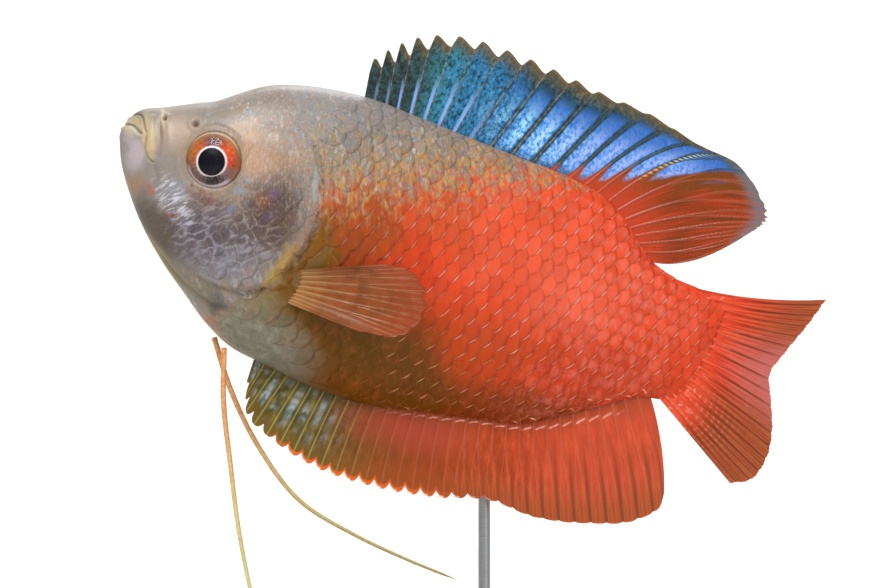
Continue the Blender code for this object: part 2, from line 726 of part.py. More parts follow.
model = new_collection("dwarf_gourami")
cutters = new_collection("cutters")
looks = {name: make_look(name, values) for name, values in FINISHES.items()}

fish_pose = bpy.data.objects.new("fish_pose", None)
fish_pose.location = Vector((SNOUT_X, 0, SNOUT_Z)) * MM
fish_pose.rotation_euler = (0, PITCH, 0)
model.objects.link(fish_pose)
fish_matrix = Matrix.Translation(fish_pose.location) @ Matrix.Rotation(PITCH, 4, "Y")

whole_body = body_loft("whole_body")
fish_pieces = build_head(whole_body) + build_jaws(whole_body) + build_trunk(whole_body)
fins, fin_limits = build_fins()
stand_pieces = build_stand(fin_limits)
for piece in fish_pieces + fins:
    finish(piece, look_of(piece.name), fish_pose)
for piece in build_feelers():
    finish(piece, "feeler")
for piece, look in zip(stand_pieces, ("base", "rod")):
    finish(piece, look)
remove(whole_body, fin_limits)
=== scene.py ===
"""Looks of the dwarf gourami model: skin, scales, fins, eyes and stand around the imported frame.

The fish is shaped in its own frame, in millimetres: u runs aft from the snout, y to the
fish's right and w up, square to its axis. to_world pitches it nose up over the stand.
"""

import math

import bpy
import numpy as np
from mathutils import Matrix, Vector


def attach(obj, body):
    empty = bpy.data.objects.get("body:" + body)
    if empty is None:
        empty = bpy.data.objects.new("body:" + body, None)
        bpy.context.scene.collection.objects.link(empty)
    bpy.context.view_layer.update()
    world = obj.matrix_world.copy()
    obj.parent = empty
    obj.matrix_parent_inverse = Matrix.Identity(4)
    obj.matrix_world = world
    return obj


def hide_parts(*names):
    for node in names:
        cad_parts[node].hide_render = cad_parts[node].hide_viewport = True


MM = 0.001
SEED = 7
SIDES = ("left", -1), ("right", 1)

# Pose of the fish
PITCH = math.radians(20)
SNOUT_X = -35.25
SNOUT_Z = 57.7

# Body from the side, as (u, w) along the back and the belly; the last point lies inside the tail fin
BACK = [(0, 0.2), (0.35, 2.0), (1.3, 3.3), (3.4, 4.35), (6.5, 5.95), (8.1, 6.75), (9.8, 8.1), (12.1, 9.75),
        (15.2, 11.0), (18.5, 11.75), (22.0, 12.2), (28.0, 12.1), (38.0, 11.75), (44.0, 11.6), (48.0, 10.9),
        (50.6, 9.6), (52.4, 8.1), (54.3, 6.7), (57.0, 5.8), (60.5, 5.45), (63.0, 4.4)]
BELLY = [(0, 0.2), (0.3, -0.75), (1.1, -2.5), (2.3, -4.3), (5.0, -7.5), (8.1, -10.3), (11.5, -12.7),
         (14.8, -14.9), (17.8, -16.2), (21.8, -16.7), (27.1, -17.2), (33.0, -16.9), (38.0, -15.8),
         (44.0, -14.4), (48.2, -13.3), (52.0, -10.9), (55.1, -8.8), (57.6, -7.1), (60.5, -6.3), (63.0, -5.6)]
LEVEL = [(0, 0.2), (3, -0.4), (8, -1.2), (16, -1.8), (28, -1.6), (42, -1.2), (52, -0.9), (63, -0.5)]
HALF_WIDTH = [(0, 0.0), (0.5, 1.15), (1.5, 1.95), (3, 2.75), (5, 3.6), (8, 4.6), (12, 5.4), (17, 5.9),
              (22, 5.9), (28, 5.7), (35, 5.1), (42, 4.2), (50, 3.0), (56, 2.0), (60.5, 1.0), (63, 0.15)]
SQUARE_ABOVE = [(0, 2.0), (8, 2.2), (16, 2.1), (26, 1.85), (44, 1.65), (63, 1.7)]
SQUARE_BELOW = [(0, 2.0), (8, 2.0), (16, 2.15), (28, 1.95), (44, 1.65), (63, 1.7)]
NOSE_START = 0.004
BODY_END = 63.0
COAT_DEPTH = 0.14

# Skin mesh: fine steps on the head, coarser ones behind it, and points down each side
HEAD_END = 22.5
HEAD_STATIONS = 230
TRUNK_STATIONS = 130
SIDE_POINTS = 210
# Table of the body's girths, the steps that its normals are measured over, and points of a route
GIRTH_STATIONS = 400
GIRTH_ANGLES = 361
GIRTH_STEPS = 240
NORMAL_STEPS = 0.004, 0.003
ROUTE_POINTS = 40
LOOP_POINTS = 24

# Creases (negative) and folds (positive) of the head: route, height, half width and how dark the painted shade
# along it is
FOLDS = [
    ([(-0.05, 1.0), (0.35, 1.3), (0.8, 1.45), (1.3, 1.38), (1.85, 1.12), (2.4, 0.9)], -0.26, 0.09, 0.32),
    ([(-0.1, 0.55), (0.4, 0.85), (0.85, 0.98), (1.35, 0.9), (1.8, 0.66), (2.3, 0.38)], 0.14, 0.32, 0),
    ([(0.25, 1.7), (0.8, 2.05), (1.35, 2.1), (1.75, 1.75), (2.1, 1.35)], 0.14, 0.3, 0),
    ([(0.4, 2.0), (0.71, 2.44), (1.24, 2.74), (1.7, 2.64), (2.01, 2.22), (2.39, 1.62), (2.85, 1.0)],
     -0.18, 0.08, 0.6),
    ([(0.95, 2.15), (1.3, 2.3), (1.62, 2.12), (1.95, 1.6)], -0.08, 0.07, 0.35),
    ([(2.55, 3.3), (3.05, 1.8), (3.55, 0.4), (4.05, -0.65)], 0.18, 0.4, 0),
    ([(2.85, 0.9), (2.95, 0.3), (3.1, -0.35), (3.55, -0.95), (4.1, -1.35), (4.6, -1.3)], -0.2, 0.1, 0.35),
    ([(3.2, 3.7), (3.9, 1.9), (4.5, 0.4), (4.85, -0.9)], -0.08, 0.12, 0.15),
    ([(3.9, 4.0), (4.6, 2.4), (5.3, 0.8), (5.6, -0.6)], 0.06, 0.35, 0),
    ([(4.85, -1.7), (5.5, -2.9), (5.9, -4.9), (5.5, -6.8)], -0.1, 0.3, 0.15),
    ([(7.0, -9.2), (10.5, -11.3), (14.0, -12.6), (17.2, -12.9)], -0.14, 0.22, 0.3),
    ([(13.3, 3.6), (12.9, 0.5), (12.2, -2.8), (11.0, -5.6), (9.8, -7.6)], -0.1, 0.2, 0.15),
]
# Short ridges below the eye that catch the light
STREAKS = 6
STREAK_START = (6.0, -2.35)
STREAK_STEP = (0.62, -0.42)
STREAK_RUN = (-0.75, -0.75)
NOSTRILS = [((3.9, 3.2), 0.2), ((7.1, 3.7), 0.26)]
NOSTRIL_DEPTH = 0.4

# Gill cover, which stands out over the flank behind it
GILL_REAR = [(17.3, 7.4), (19.1, 5.4), (20.6, 2.7), (21.5, 0.0), (21.7, -2.8), (21.2, -5.4), (20.2, -7.4),
             (18.9, -9.2), (17.6, -10.4)]
GILL_LOWER = [(17.6, -10.4), (15.2, -10.7), (12.6, -10.5), (11.0, -9.8)]
GILL_FRONT = [(11.0, -9.8), (10.2, -7.5), (11.2, -5.4), (12.3, -2.8), (13.0, 0.0), (13.4, 3.0), (13.7, 5.4),
              (14.3, 6.9), (15.5, 7.7), (17.3, 7.4)]
GILL_SWELL = 0.34
SWELL_SPAN = (12.0, 20.0)
GILL_EDGE = 0.14
GILL_GROOVE = 0.2
GROOVE_WIDTH = 0.3

# Eyes: place, size of the ball, how far it stands out, and the skin's rim round it
EYE = np.array((10.15, 0.9))
EYE_RADIUS = 2.9
EYE_DEPTH = 1.4
EYE_PROUD = 0.65
EYE_TURN = math.radians(12)
EYE_OPENING = 2.76
SOCKET_DEPTH = 1.2
ORBIT_REACH = 3.9
ORBIT_RIM = 0.1
PUPIL = (0.03, -0.27)
PUPIL_RADIUS = 1.37
EYE_SIDES = 96
EYE_RINGS = 60

# Scales: pitch along a row and between rows, at u; a plate's size as shares of these, and its lift
SCALE_PITCH = [(5, 1.0), (9, 1.2), (13, 1.6), (18, 1.8), (22, 1.58), (35, 1.46), (48, 1.38), (57, 1.25),
               (63, 1.0)]
ROW_PITCH = [(5, 1.1), (9, 1.3), (13, 1.75), (18, 2.0), (22, 1.88), (35, 1.8), (48, 1.6), (57, 1.4),
             (63, 1.15)]
PLATE_LENGTH = 1.95
PLATE_WIDTH = 1.62
PLATE_LIFT = 0.068
PLATE_THICK = 0.018
PLATE_ROWS = 8
PLATE_COLUMNS = 13
# Rows either side of the middle line, coat pieces from u to u, and a scale's patch on the bake's map
ROWS = 12
COAT_PARTS = ("front", 0, 22), ("middle", 22, 42), ("rear", 42, 99)
BAKE_PATCH = 0.003

# Fins, with the same (u, w) lines, ray counts and waves as the solids. MESH holds columns between two
# rays and rows; FORM holds the number of spines, where soft rays split, and a ray's radius
FIN_SINK = 0.9
SPAN_POINTS = 14
MEMBRANE = 0.05
EVEN = [(0, 0), (1, 1)]
FLAT = [(0, 0), (1, 0)]
DORSAL_SPAN = (22.0, 53.6)
DORSAL_RAYS = 24
DORSAL_SPINES = 16
DORSAL_MARGIN = [(21.3, 15.7), (22.6, 17.4), (24.6, 19.3), (28.8, 21.0), (34.0, 21.3), (38.8, 21.1),
                 (44.2, 20.5), (49.2, 20.2), (55.4, 18.9), (59.0, 18.5), (62.0, 16.7), (64.0, 14.2),
                 (62.4, 12.0)]
DORSAL_BOW = FLAT, [(0, 0), (0.5, 0.1), (0.6, 0.7), (0.7, 2.2), (0.82, 1.0), (1, -1.5)]
DORSAL_WAVE = 0.4, 5.0, 0.0
DORSAL_MESH = 18, 72
DORSAL_FORM = DORSAL_SPINES, 0.3, 0.13
DORSAL_ROOTS = [(0, 0), (0.17, 0.15), (0.35, 0.345), (0.565, 0.66), (0.7, 0.8), (1, 1)]
DORSAL_TIPS = [(0, 0), (0.17, 0.133), (0.35, 0.337), (0.565, 0.6), (0.65, 0.72), (0.74, 0.86), (1, 1)]
ANAL_SPAN = (20.4, 58.6)
ANAL_RAYS = 32
ANAL_MESH = 14, 60
ANAL_FORM = 17, 0.25, 0.15
ANAL_MARGIN = [(20.5, -18.6), (21.6, -21.8), (25.0, -23.4), (30.0, -24.5), (35.2, -24.4), (42.2, -23.2),
               (47.6, -21.6), (51.8, -21.7), (57.6, -20.4), (62.0, -18.4), (63.7, -16.3), (63.6, -15.0)]
ANAL_BOW = [(0, 0), (0.8, 0), (1, 0.5)], FLAT
ANAL_WAVE = 0.4, 6.0, 2.0
CAUDAL_BASE = [(59.6, 5.4), (60.0, 2.5), (60.1, -0.6), (60.0, -3.6), (59.8, -6.2)]
CAUDAL_RAYS = 18
CAUDAL_MARGIN = [(72.3, 8.8), (71.5, 6.0), (70.2, 2.3), (69.5, -0.2), (70.4, -2.4), (71.6, -5.4),
                 (72.0, -8.0), (71.2, -10.8), (69.4, -11.8)]
CAUDAL_BOW = FLAT, [(0, -0.5), (0.4, 0), (1, 0)]
CAUDAL_WAVE = 0.8, 3.0, 1.5
CAUDAL_MESH = 22, 84
CAUDAL_FORM = 0, 0.12, 0.2
PECTORAL_BASE = [(20.9, -6.9), (21.1, -8.4), (21.5, -9.9)]
PECTORAL_RAYS = 10
PECTORAL_MARGIN = [(29.6, -3.0), (32.4, -2.8), (34.3, -4.2), (34.9, -6.6), (33.8, -8.9), (29.5, -10.1)]
PECTORAL_REACH = 3.2
PECTORAL_SLANT = 0.3
PECTORAL_MESH = 16, 56
PECTORAL_FORM = 0, 0.35, 0.11

# Pelvic feelers: root on the breast, then (x, z) of the route over the stand, and y where it ends
FEELER_RADIUS = 0.28
FEELER_TIP = 0.45
FEELER_POINTS = 120
FEELER_SIDES = 14
FEELER_ROOT_Y = 1.2
FEELER_GAP = 0.3
FEELERS = {
    "right": {
        "root": 15.9, "end_y": 5.5, "side": 1,
        "route": [(-24.2, 32.6), (-21.3, 26.5), (-17.15, 21.0), (-11.8, 17.6), (-6.4, 15.0), (-1.4, 12.9)],
    },
    "left": {
        "root": 17.3, "end_y": -13.0, "side": -1,
        "route": [(-24.6, 31.2), (-23.85, 24.9), (-22.9, 18.3), (-21.6, 12.4), (-20.3, 8.4), (-18.6, 5.4)],
    },
}

# Stand
BASE_X = -6.0
BASE_LENGTH = 58.0
BASE_DEPTH = 36.0
BASE_HEIGHT = 4.0
BASE_EDGE = [(0.0, 0.0), (0.0, 0.25), (0.25, 0.5), (0.25, 2.6), (0.4, 3.1), (0.9, 3.5), (1.3, 3.62),
             (1.5, 3.8), (1.9, 3.95), (2.6, 4.0)]
BASE_SIDES = 160
ROD_X = 1.4
ROD_Y = 2.5
ROD_RADIUS = 0.6
ROD_TOP = 34.5
ROD_SIDES = 40
# Extra height from ring to ring of the rod, which parts the two rings at the base's top
RING_GAP = 1e-6

# Camera and frame: the photograph is 88.0 mm wide where the fish hangs
VIEW_X = -3.05
VIEW_Z = 41.8
VIEW_WIDTH = 88.0
VIEW_DISTANCE = 450.0
SENSOR = 36.0


def smooth(points, x):
    """Read a smooth curve through (x, value) points."""
    xs, ys = np.array(points, float).T
    spans = np.diff(xs)
    slopes = np.diff(ys) / spans
    inner = (spans[1:] * slopes[:-1] + spans[:-1] * slopes[1:]) / (spans[1:] + spans[:-1])
    tangents = np.concatenate((slopes[:1], inner, slopes[-1:]))
    x = np.clip(x, xs[0], xs[-1])
    i = np.clip(np.searchsorted(xs, x, side="right") - 1, 0, len(spans) - 1)
    t = (x - xs[i]) / spans[i]
    ease = t * t * (3 - 2 * t)
    bend = spans[i] * t * (1 - t) * ((1 - t) * tangents[i] - t * tangents[i + 1])
    return ys[i] * (1 - ease) + ys[i + 1] * ease + bend


def outline(points, u):
    """Read an outline that runs square across the snout's tip."""
    return smooth([(math.sqrt(a), b) for a, b in points], np.sqrt(np.maximum(u, 0)))


def curve_at(points, fraction):
    """Points at fractions of the way along a smooth curve; the last axis holds the coordinates."""
    steps = [math.dist(a, b) for a, b in zip(points, points[1:])]
    lengths = np.concatenate(([0], np.cumsum(steps)))
    s = np.asarray(fraction) * lengths[-1]
    return np.stack([smooth(list(zip(lengths, axis)), s) for axis in zip(*points)], axis=-1)


def ramp(x, start, end):
    """Rise smoothly from 0 at start to 1 at end."""
    t = np.clip((x - start) / (end - start), 0, 1)
    return t * t * (3 - 2 * t)


def bell(x, width):
    return np.exp(-(x / width) ** 2)


def to_world(points):
    """Fish frame in mm to the model's frame in metres."""
    u, y, w = np.moveaxis(np.asarray(points, float), -1, 0)
    x = SNOUT_X + u * math.cos(PITCH) + w * math.sin(PITCH)
    z = SNOUT_Z - u * math.sin(PITCH) + w * math.cos(PITCH)
    return np.stack((x, y, z), axis=-1) * MM


def heights_at(u):
    """Heights of the back, the belly and the widest line."""
    return outline(BACK, u), outline(BELLY, u), smooth(LEVEL, u)


def body(u, angle):
    """Point of the plain body at u; the angle runs from the back, 0, down the right side to the belly."""
    top, bottom, level = heights_at(u)
    across, up = np.sin(angle), np.cos(angle)
    square = np.where(up > 0, smooth(SQUARE_ABOVE, u), smooth(SQUARE_BELOW, u))
    reach = np.where(up > 0, top, bottom) - level
    y = outline(HALF_WIDTH, u) * np.abs(across) ** (2 / square) * np.sign(across)
    return np.stack((u + 0 * y, y, level + reach * np.abs(up) ** (2 / square)), axis=-1)


def half_width_at(u, w):
    """Half the body's width at the height w."""
    top, bottom, level = heights_at(u)
    square = np.where(w > level, smooth(SQUARE_ABOVE, u), smooth(SQUARE_BELOW, u))
    share = np.clip((w - level) / (np.where(w > level, top, bottom) - level), 0, 1)
    return outline(HALF_WIDTH, u) * (1 - share ** square) ** (1 / square)


def measure_girth():
    """Length down one side at each station, and the angle at even steps of that length."""
    root = np.linspace(math.sqrt(NOSE_START), math.sqrt(BODY_END), GIRTH_STATIONS)
    angles = np.linspace(0, math.pi, GIRTH_ANGLES)
    points = body((root ** 2)[:, None], angles[None, :])
    steps = np.linalg.norm(np.diff(points, axis=1), axis=2)
    lengths = np.concatenate((np.zeros((GIRTH_STATIONS, 1)), np.cumsum(steps, axis=1)), axis=1)
    middle = lengths[:, GIRTH_ANGLES // 2]
    shares = np.linspace(0, 1, GIRTH_STEPS)
    table = np.array([np.interp(shares * row[-1], row, angles) for row in lengths])
    return root, lengths[:, -1], middle, table


STATION_ROOTS, GIRTHS, MIDDLES, ANGLES = measure_girth()


def girth_at(u):
    return np.interp(np.sqrt(u), STATION_ROOTS, GIRTHS)


def middle_at(u):
    return np.interp(np.sqrt(u), STATION_ROOTS, MIDDLES)


def angle_at(u, v):
    """Angle of the body at the share v of the way down its side; v may run past the back or belly."""
    first, last = STATION_ROOTS[[0, -1]]
    i = np.clip((np.sqrt(u) - first) / (last - first), 0, 1) * (GIRTH_STATIONS - 1)
    k = np.clip(np.where(v > 1, 2 - v, np.abs(v)), 0, 1) * (GIRTH_STEPS - 1)
    i0 = np.minimum(i.astype(int), GIRTH_STATIONS - 2)
    k0 = np.minimum(k.astype(int), GIRTH_STEPS - 2)
    di, dk = i - i0, k - k0
    near, far = (ANGLES[row, k0] * (1 - dk) + ANGLES[row, k0 + 1] * dk for row in (i0, i0 + 1))
    angle = near * (1 - di) + far * di
    return np.where(v < 0, -angle, np.where(v > 1, 2 * math.pi - angle, angle))


def body_with_normal(u, v):
    """Point of the body's right side and the outward normal there."""
    step_t, step_v = NORMAL_STEPS
    ahead = (np.sqrt(u) + step_t) ** 2
    behind = np.maximum(np.sqrt(u) - step_t, STATION_ROOTS[0] / 2) ** 2
    along = body(ahead, angle_at(ahead, v)) - body(behind, angle_at(behind, v))
    down = body(u, angle_at(u, v + step_v)) - body(u, angle_at(u, v - step_v))
    normal = np.cross(along, down)
    normal /= np.maximum(np.linalg.norm(normal, axis=-1, keepdims=True), 1e-12)
    return body(u, angle_at(u, v)), normal


def route_distance(route, u, w, reach):
    """Distance from points to a smooth route, and the share of the route at the nearest place."""
    line = curve_at(route, np.linspace(0, 1, ROUTE_POINTS))
    distance, share = np.full(u.shape, 1e3), np.zeros(u.shape)
    low, high = line.min(axis=0) - reach, line.max(axis=0) + reach
    near = (u > low[0]) & (u < high[0]) & (w > low[1]) & (w < high[1])
    places = np.stack((u[near], w[near]), axis=-1)
    best, nearest = distance[near], share[near]
    for k, (a, run) in enumerate(zip(line, np.diff(line, axis=0))):
        t = np.clip((places - a) @ run / (run @ run), 0, 1)
        gap = np.hypot(*(places - a - t[:, None] * run).T)
        nearest = np.where(gap < best, (k + t) / (len(line) - 1), nearest)
        best = np.minimum(gap, best)
    distance[near], share[near] = best, nearest
    return distance, share


def inside(loop, u, w):
    """Which points lie within a closed outline."""
    result = np.zeros(u.shape, bool)
    for (ua, wa), (ub, wb) in zip(loop, np.roll(loop, -1, axis=0)):
        crosses = (wa > w) != (wb > w)
        with np.errstate(divide="ignore", invalid="ignore"):
            result ^= crosses & (u < (ub - ua) * (w - wa) / (wb - wa) + ua)
    return result


GILL_LOOP = np.concatenate([curve_at(route, np.linspace(0, 1, LOOP_POINTS, endpoint=False))
                            for route in (GILL_REAR, GILL_LOWER, GILL_FRONT)])


def gill_swell(u, w):
    """How far the gill cover stands out, and how near a point is to the groove behind its edge."""
    within = inside(GILL_LOOP, u, w)
    rear, lower, front = (route_distance(route, u, w, reach)[0]
                          for route, reach in ((GILL_REAR, 1.5), (GILL_LOWER, 1.5), (GILL_FRONT, 2.5)))
    top = 1 - ramp(w, 3.5, 6.5)
    swell = GILL_SWELL * ramp(u, *SWELL_SPAN) * ramp(np.minimum(rear, lower), 0, GILL_EDGE)
    swell = within * swell * ramp(front, 0, 2) * top
    groove = bell(rear - GROOVE_WIDTH / 2, GROOVE_WIDTH) * top
    groove += 0.45 * bell(lower - GROOVE_WIDTH / 2, GROOVE_WIDTH) * ramp(u, 10, 14)
    return swell, np.minimum(~within * groove, 1)


def eye_dip(u, w, from_eye):
    """Height that brings the skin round the eye onto the edge of the eyeball."""
    share = EYE_OPENING / np.maximum(from_eye, 0.01)
    edge_u, edge_w = EYE[0] + (u - EYE[0]) * share, EYE[1] + (w - EYE[1]) * share
    near = from_eye < ORBIT_REACH
    height = np.zeros(u.shape)
    sink = EYE_PROUD - EYE_DEPTH * (1 - math.sqrt(1 - (EYE_OPENING / EYE_RADIUS) ** 2)) + COAT_DEPTH
    ball = half_width_at(*EYE) + sink + (edge_u[near] - EYE[0]) * math.tan(EYE_TURN)
    gap = ball - half_width_at(edge_u[near], edge_w[near])
    height[near] = gap * (1 - ramp(from_eye[near], EYE_OPENING, ORBIT_REACH))
    return height


def relief(u, w):
    """Height of the skin over the plain body, and the painted shade in its creases, nostrils, gill groove and
    round the eye.
    """
    swell, groove = gill_swell(u, w)
    height = swell - GILL_GROOVE * groove - COAT_DEPTH
    shade = 0.75 * groove
    for route, tall, width, dark in FOLDS:
        distance, share = route_distance(route, u, w, 4 * width)
        height += tall * bell(distance, width) * ramp(share, -0.02, 0.12) * (1 - ramp(share, 0.88, 1.02))
        shade = np.maximum(shade, dark * bell(distance, width * 1.1) * (1 - ramp(share, 0.85, 1.0)))
    for place, radius in NOSTRILS:
        distance = np.hypot(u - place[0], w - place[1])
        height += 0.1 * bell(distance - 2 * radius, radius) - NOSTRIL_DEPTH * bell(distance, radius)
        shade = np.maximum(shade, 0.8 * bell(distance, radius))
    for k in range(STREAKS):
        start = np.add(STREAK_START, np.multiply(STREAK_STEP, k))
        route = [start + np.multiply(STREAK_RUN, share) for share in (0, 0.5, 1)]
        distance, share = route_distance(route, u, w, 0.5)
        height += 0.07 * bell(distance, 0.16) * (1 - ramp(share, 0.7, 1.0))
    from_eye = np.hypot(u - EYE[0], w - EYE[1])
    height += eye_dip(u, w, from_eye) + ORBIT_RIM * bell(from_eye - EYE_OPENING - 0.3, 0.22)
    height -= SOCKET_DEPTH * (1 - ramp(from_eye, EYE_OPENING - 0.3, EYE_OPENING))
    return height, np.maximum(shade, 0.2 * bell(from_eye - EYE_OPENING, 0.1))


def on_skin(u, v, side, lift=0.0):
    """Points of the skin, raised by lift, with the shade of its creases."""
    point, normal = body_with_normal(u, v)
    height, shade = relief(point[..., 0], point[..., 2])
    return (point + normal * (height + lift)[..., None]) * (1, side, 1), shade


def new_piece(name, points, faces, look, layers, uv=None):
    """Mesh object from world points, with named vertex layers and one optional UV map."""
    mesh = bpy.data.meshes.new(name)
    mesh.from_pydata(points.reshape(-1, 3).tolist(), [], [face.tolist() for face in faces])
    for layer, values in layers.items():
        values = np.asarray(values, np.float32)
        kind, field = ("FLOAT", "value") if values.ndim == 1 else ("FLOAT_VECTOR", "vector")
        mesh.attributes.new(layer, kind, "POINT").data.foreach_set(field, values.ravel())
    if uv is not None:
        mesh.uv_layers.new(name="OFBake").uv.foreach_set("vector", np.asarray(uv, np.float32).ravel())
    mesh.materials.append(look)
    mesh.shade_smooth()
    piece = bpy.data.objects.new(name, mesh)
    bpy.context.scene.collection.objects.link(piece)
    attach(piece, "root")
    return piece


def grid_faces(rows, columns, wrap=False):
    """Quads of a grid of points that is stored row after row."""
    i, k = np.meshgrid(np.arange(rows - 1), np.arange(columns if wrap else columns - 1), indexing="ij")
    n = (k + 1) % columns
    quads = (i * columns + k, i * columns + n, (i + 1) * columns + n, (i + 1) * columns + k)
    return np.stack([q.ravel() for q in quads], axis=1)


def build_skin(look):
    """One skin over head, jaws, gill covers, trunk and tail stalk."""
    head = np.linspace(math.sqrt(NOSE_START), math.sqrt(HEAD_END), HEAD_STATIONS) ** 2
    trunk = np.linspace(HEAD_END, BODY_END, TRUNK_STATIONS + 1)[1:]
    u, v = np.meshgrid(np.concatenate((head, trunk)), np.linspace(0, 1, SIDE_POINTS), indexing="ij")
    right, shade = on_skin(u, v, 1)
    rings = np.concatenate((right, right[:, -2:0:-1] * (1, -1, 1)), axis=1)
    shades = np.concatenate((shade, shade[:, -2:0:-1]), axis=1)
    rows, columns = shades.shape
    points = np.concatenate((rings.reshape(-1, 3), rings[[0, -1]].mean(axis=1)))
    around = np.arange(columns)
    after = (around + 1) % columns
    last = (rows - 1) * columns
    nose = np.stack((around, after, 0 * around + shades.size), axis=1)
    tail = np.stack((last + after, last + around, 0 * around + shades.size + 1), axis=1)
    faces = [*grid_faces(rows, columns, wrap=True)[:, ::-1], *nose, *tail]
    skin = new_piece("skin", to_world(points), faces, look, {"shade": np.append(shades, (0, 0))})
    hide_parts("head", "upper_jaw", "lower_jaw", "gill_cover_left", "gill_cover_right",
                "trunk", "tail_stalk")


def plate_shape():
    """Grid of one scale: along it, across it, and the quads over top, rim and underside."""
    top = np.arange(PLATE_ROWS * PLATE_COLUMNS).reshape(PLATE_ROWS, PLATE_COLUMNS)
    under = top + top.size
    under[:, 0], under[:, -1], under[0] = top[:, 0], top[:, -1], top[0]
    rows = np.concatenate((top, under[::-1]))
    map_places = np.stack(np.meshgrid(np.linspace(0, 1, len(rows)), np.linspace(0, 1, PLATE_COLUMNS),
                                      indexing="ij"), axis=-1)
    quads, corners = (np.stack((grid[:-1, :-1], grid[:-1, 1:], grid[1:, 1:], grid[1:, :-1]), axis=2)
                      for grid in (rows, map_places))
    quads, corners = quads.reshape(-1, 4), corners.reshape(-1, 4, 2)
    solid = np.array([len(set(quad)) == 4 for quad in quads])
    across = np.sin(np.linspace(-math.pi / 2, math.pi / 2, PLATE_COLUMNS))
    along, across = np.meshgrid(np.linspace(0, 1, PLATE_ROWS), across, indexing="ij")
    return np.tile(along.ravel(), 2), np.tile(across.ravel(), 2), quads[solid], corners[solid]


def build_plates(name, side, scales, look):
    """Overlapping scales as one mesh, from the rows that body_scales gives."""
    root_u, row, map_u, map_v, length, width, tint, lift = scales
    along, across, quads, corners = plate_shape()
    count = len(length)
    reach = 0.5 + 0.5 * np.sqrt(np.maximum(1 - across ** 2, 0))
    up = np.outer(width / 2, across * (0.82 + 0.18 * np.sqrt(along)))
    rise = along ** 1.3 * (1 - 0.55 * across ** 2) * (1 - 0.45 * ramp(across, -0.2, 0.9))
    thick = PLATE_THICK * (np.arange(len(along)) >= len(along) // 2)
    heights = np.outer(lift * (0.95 + 0.1 * tint), rise - 0.5 * (1 - along)) - thick
    u = np.clip(root_u[:, None] + np.outer(length, along * reach), 1.0, BODY_END - 0.05)
    down = (middle_at(u) + row[:, None] * smooth(ROW_PITCH, u) - up) / girth_at(u)
    points, _ = on_skin(u, down, side, heights)
    faces = (np.arange(count)[:, None, None] * len(along) + quads).reshape(-1, 4)[:, ::-side]
    patch = np.stack((map_u, map_v), axis=1)[:, None, None] + (corners - 0.5) * BAKE_PATCH
    edge = np.outer(length, (1 - along) * reach * np.sqrt(1 - 0.75 * across ** 2)).ravel()
    layers = {
        "plate": np.stack((np.tile(along, count), np.tile(across, count), edge), axis=1),
        "tint": np.repeat(tint, len(along)),
    }
    new_piece(name, to_world(points), faces, look, layers, patch[:, :, ::-side])


def scale_columns():
    """Places along the body, half a pitch apart."""
    u = np.linspace(SCALE_PITCH[0][0], SCALE_PITCH[-1][0] - 0.8, 2000)
    phase = np.concatenate(([0], np.cumsum(np.diff(u) / smooth(SCALE_PITCH, u[:-1]))))
    return np.interp(np.arange(0, phase[-1], 0.5), phase, u)


def body_scales(side, rng):
    """Scales of one side: u and row of the root, place on the bake's map, length, width, tint and lift."""
    sites = [(u, row) for k, u in enumerate(scale_columns())
             for row in range(-ROWS, ROWS + 1) if (row + k) % 2 == 0]
    u, row = np.array(sites).T
    u = u + 0.012 * row ** 2 * ramp(u, 24, 40) + rng.normal(0, 0.03, len(u))
    down = (middle_at(u) + row * smooth(ROW_PITCH, u)) / girth_at(u)
    w = body(u, angle_at(u, np.clip(down, 0, 1)))[:, 2]

    from_eye = np.hypot(u - EYE[0], w - EYE[1])
    gill = inside(GILL_LOOP, u, w)
    to_edge = np.min([route_distance(route, u, w, 3.0)[0] for route in (GILL_REAR, GILL_LOWER)], axis=0)
    front = 8.6 + 0.1 * (w + 3) ** 2 * (w < -3) + 5.6 * ramp(w, -2.4, -1.4) + 3.4 * ramp(w, 0.5, 2)
    keep = (down > 0.012) & (down < 0.985) & (u < 61.8) & (u > front)
    keep &= (from_eye > 3.6) & ~(gill & (to_edge < 0.9))
    keep &= ~((u < 15.5) & (w < -9.8) & ~gill)
    keep &= ~((from_eye < 5.4) & (u < EYE[0]) & (np.abs(w - EYE[1]) < 2.8))

    u, row, down, w, gill = u[keep], row[keep], down[keep], w[keep], gill[keep]
    tint = rng.random(len(u))
    length = smooth(SCALE_PITCH, u) * PLATE_LENGTH * rng.uniform(0.95, 1.05, len(u))
    width = smooth(ROW_PITCH, u) * PLATE_WIDTH * rng.uniform(0.95, 1.05, len(u))
    over = w + 9.76 - 0.48 * u
    calm = (0.25 + 0.75 * ramp(u, 15, 25)) * (1 - 0.87 * ramp(over, -2, 2.5))
    calm = np.where(gill, np.maximum(calm, 0.6 * (1 - ramp(w, 0, 3))), calm)
    map_v = np.where(side > 0, 0.99 - 0.48 * down, 0.01 + 0.48 * down)
    return np.stack((u, row, 0.02 + 0.96 * u / BODY_END, map_v, length, width, tint, PLATE_LIFT * calm))


def build_coat(look):
    """Scales of both sides, each side in a front, a middle and a rear piece."""
    for label, side in SIDES:
        scales = body_scales(side, np.random.default_rng(SEED))
        for part, start, end in COAT_PARTS:
            pick = (scales[0] >= start) & (scales[0] < end)
            build_plates(f"scales_{label}_{part}", side, scales[:, pick], look)


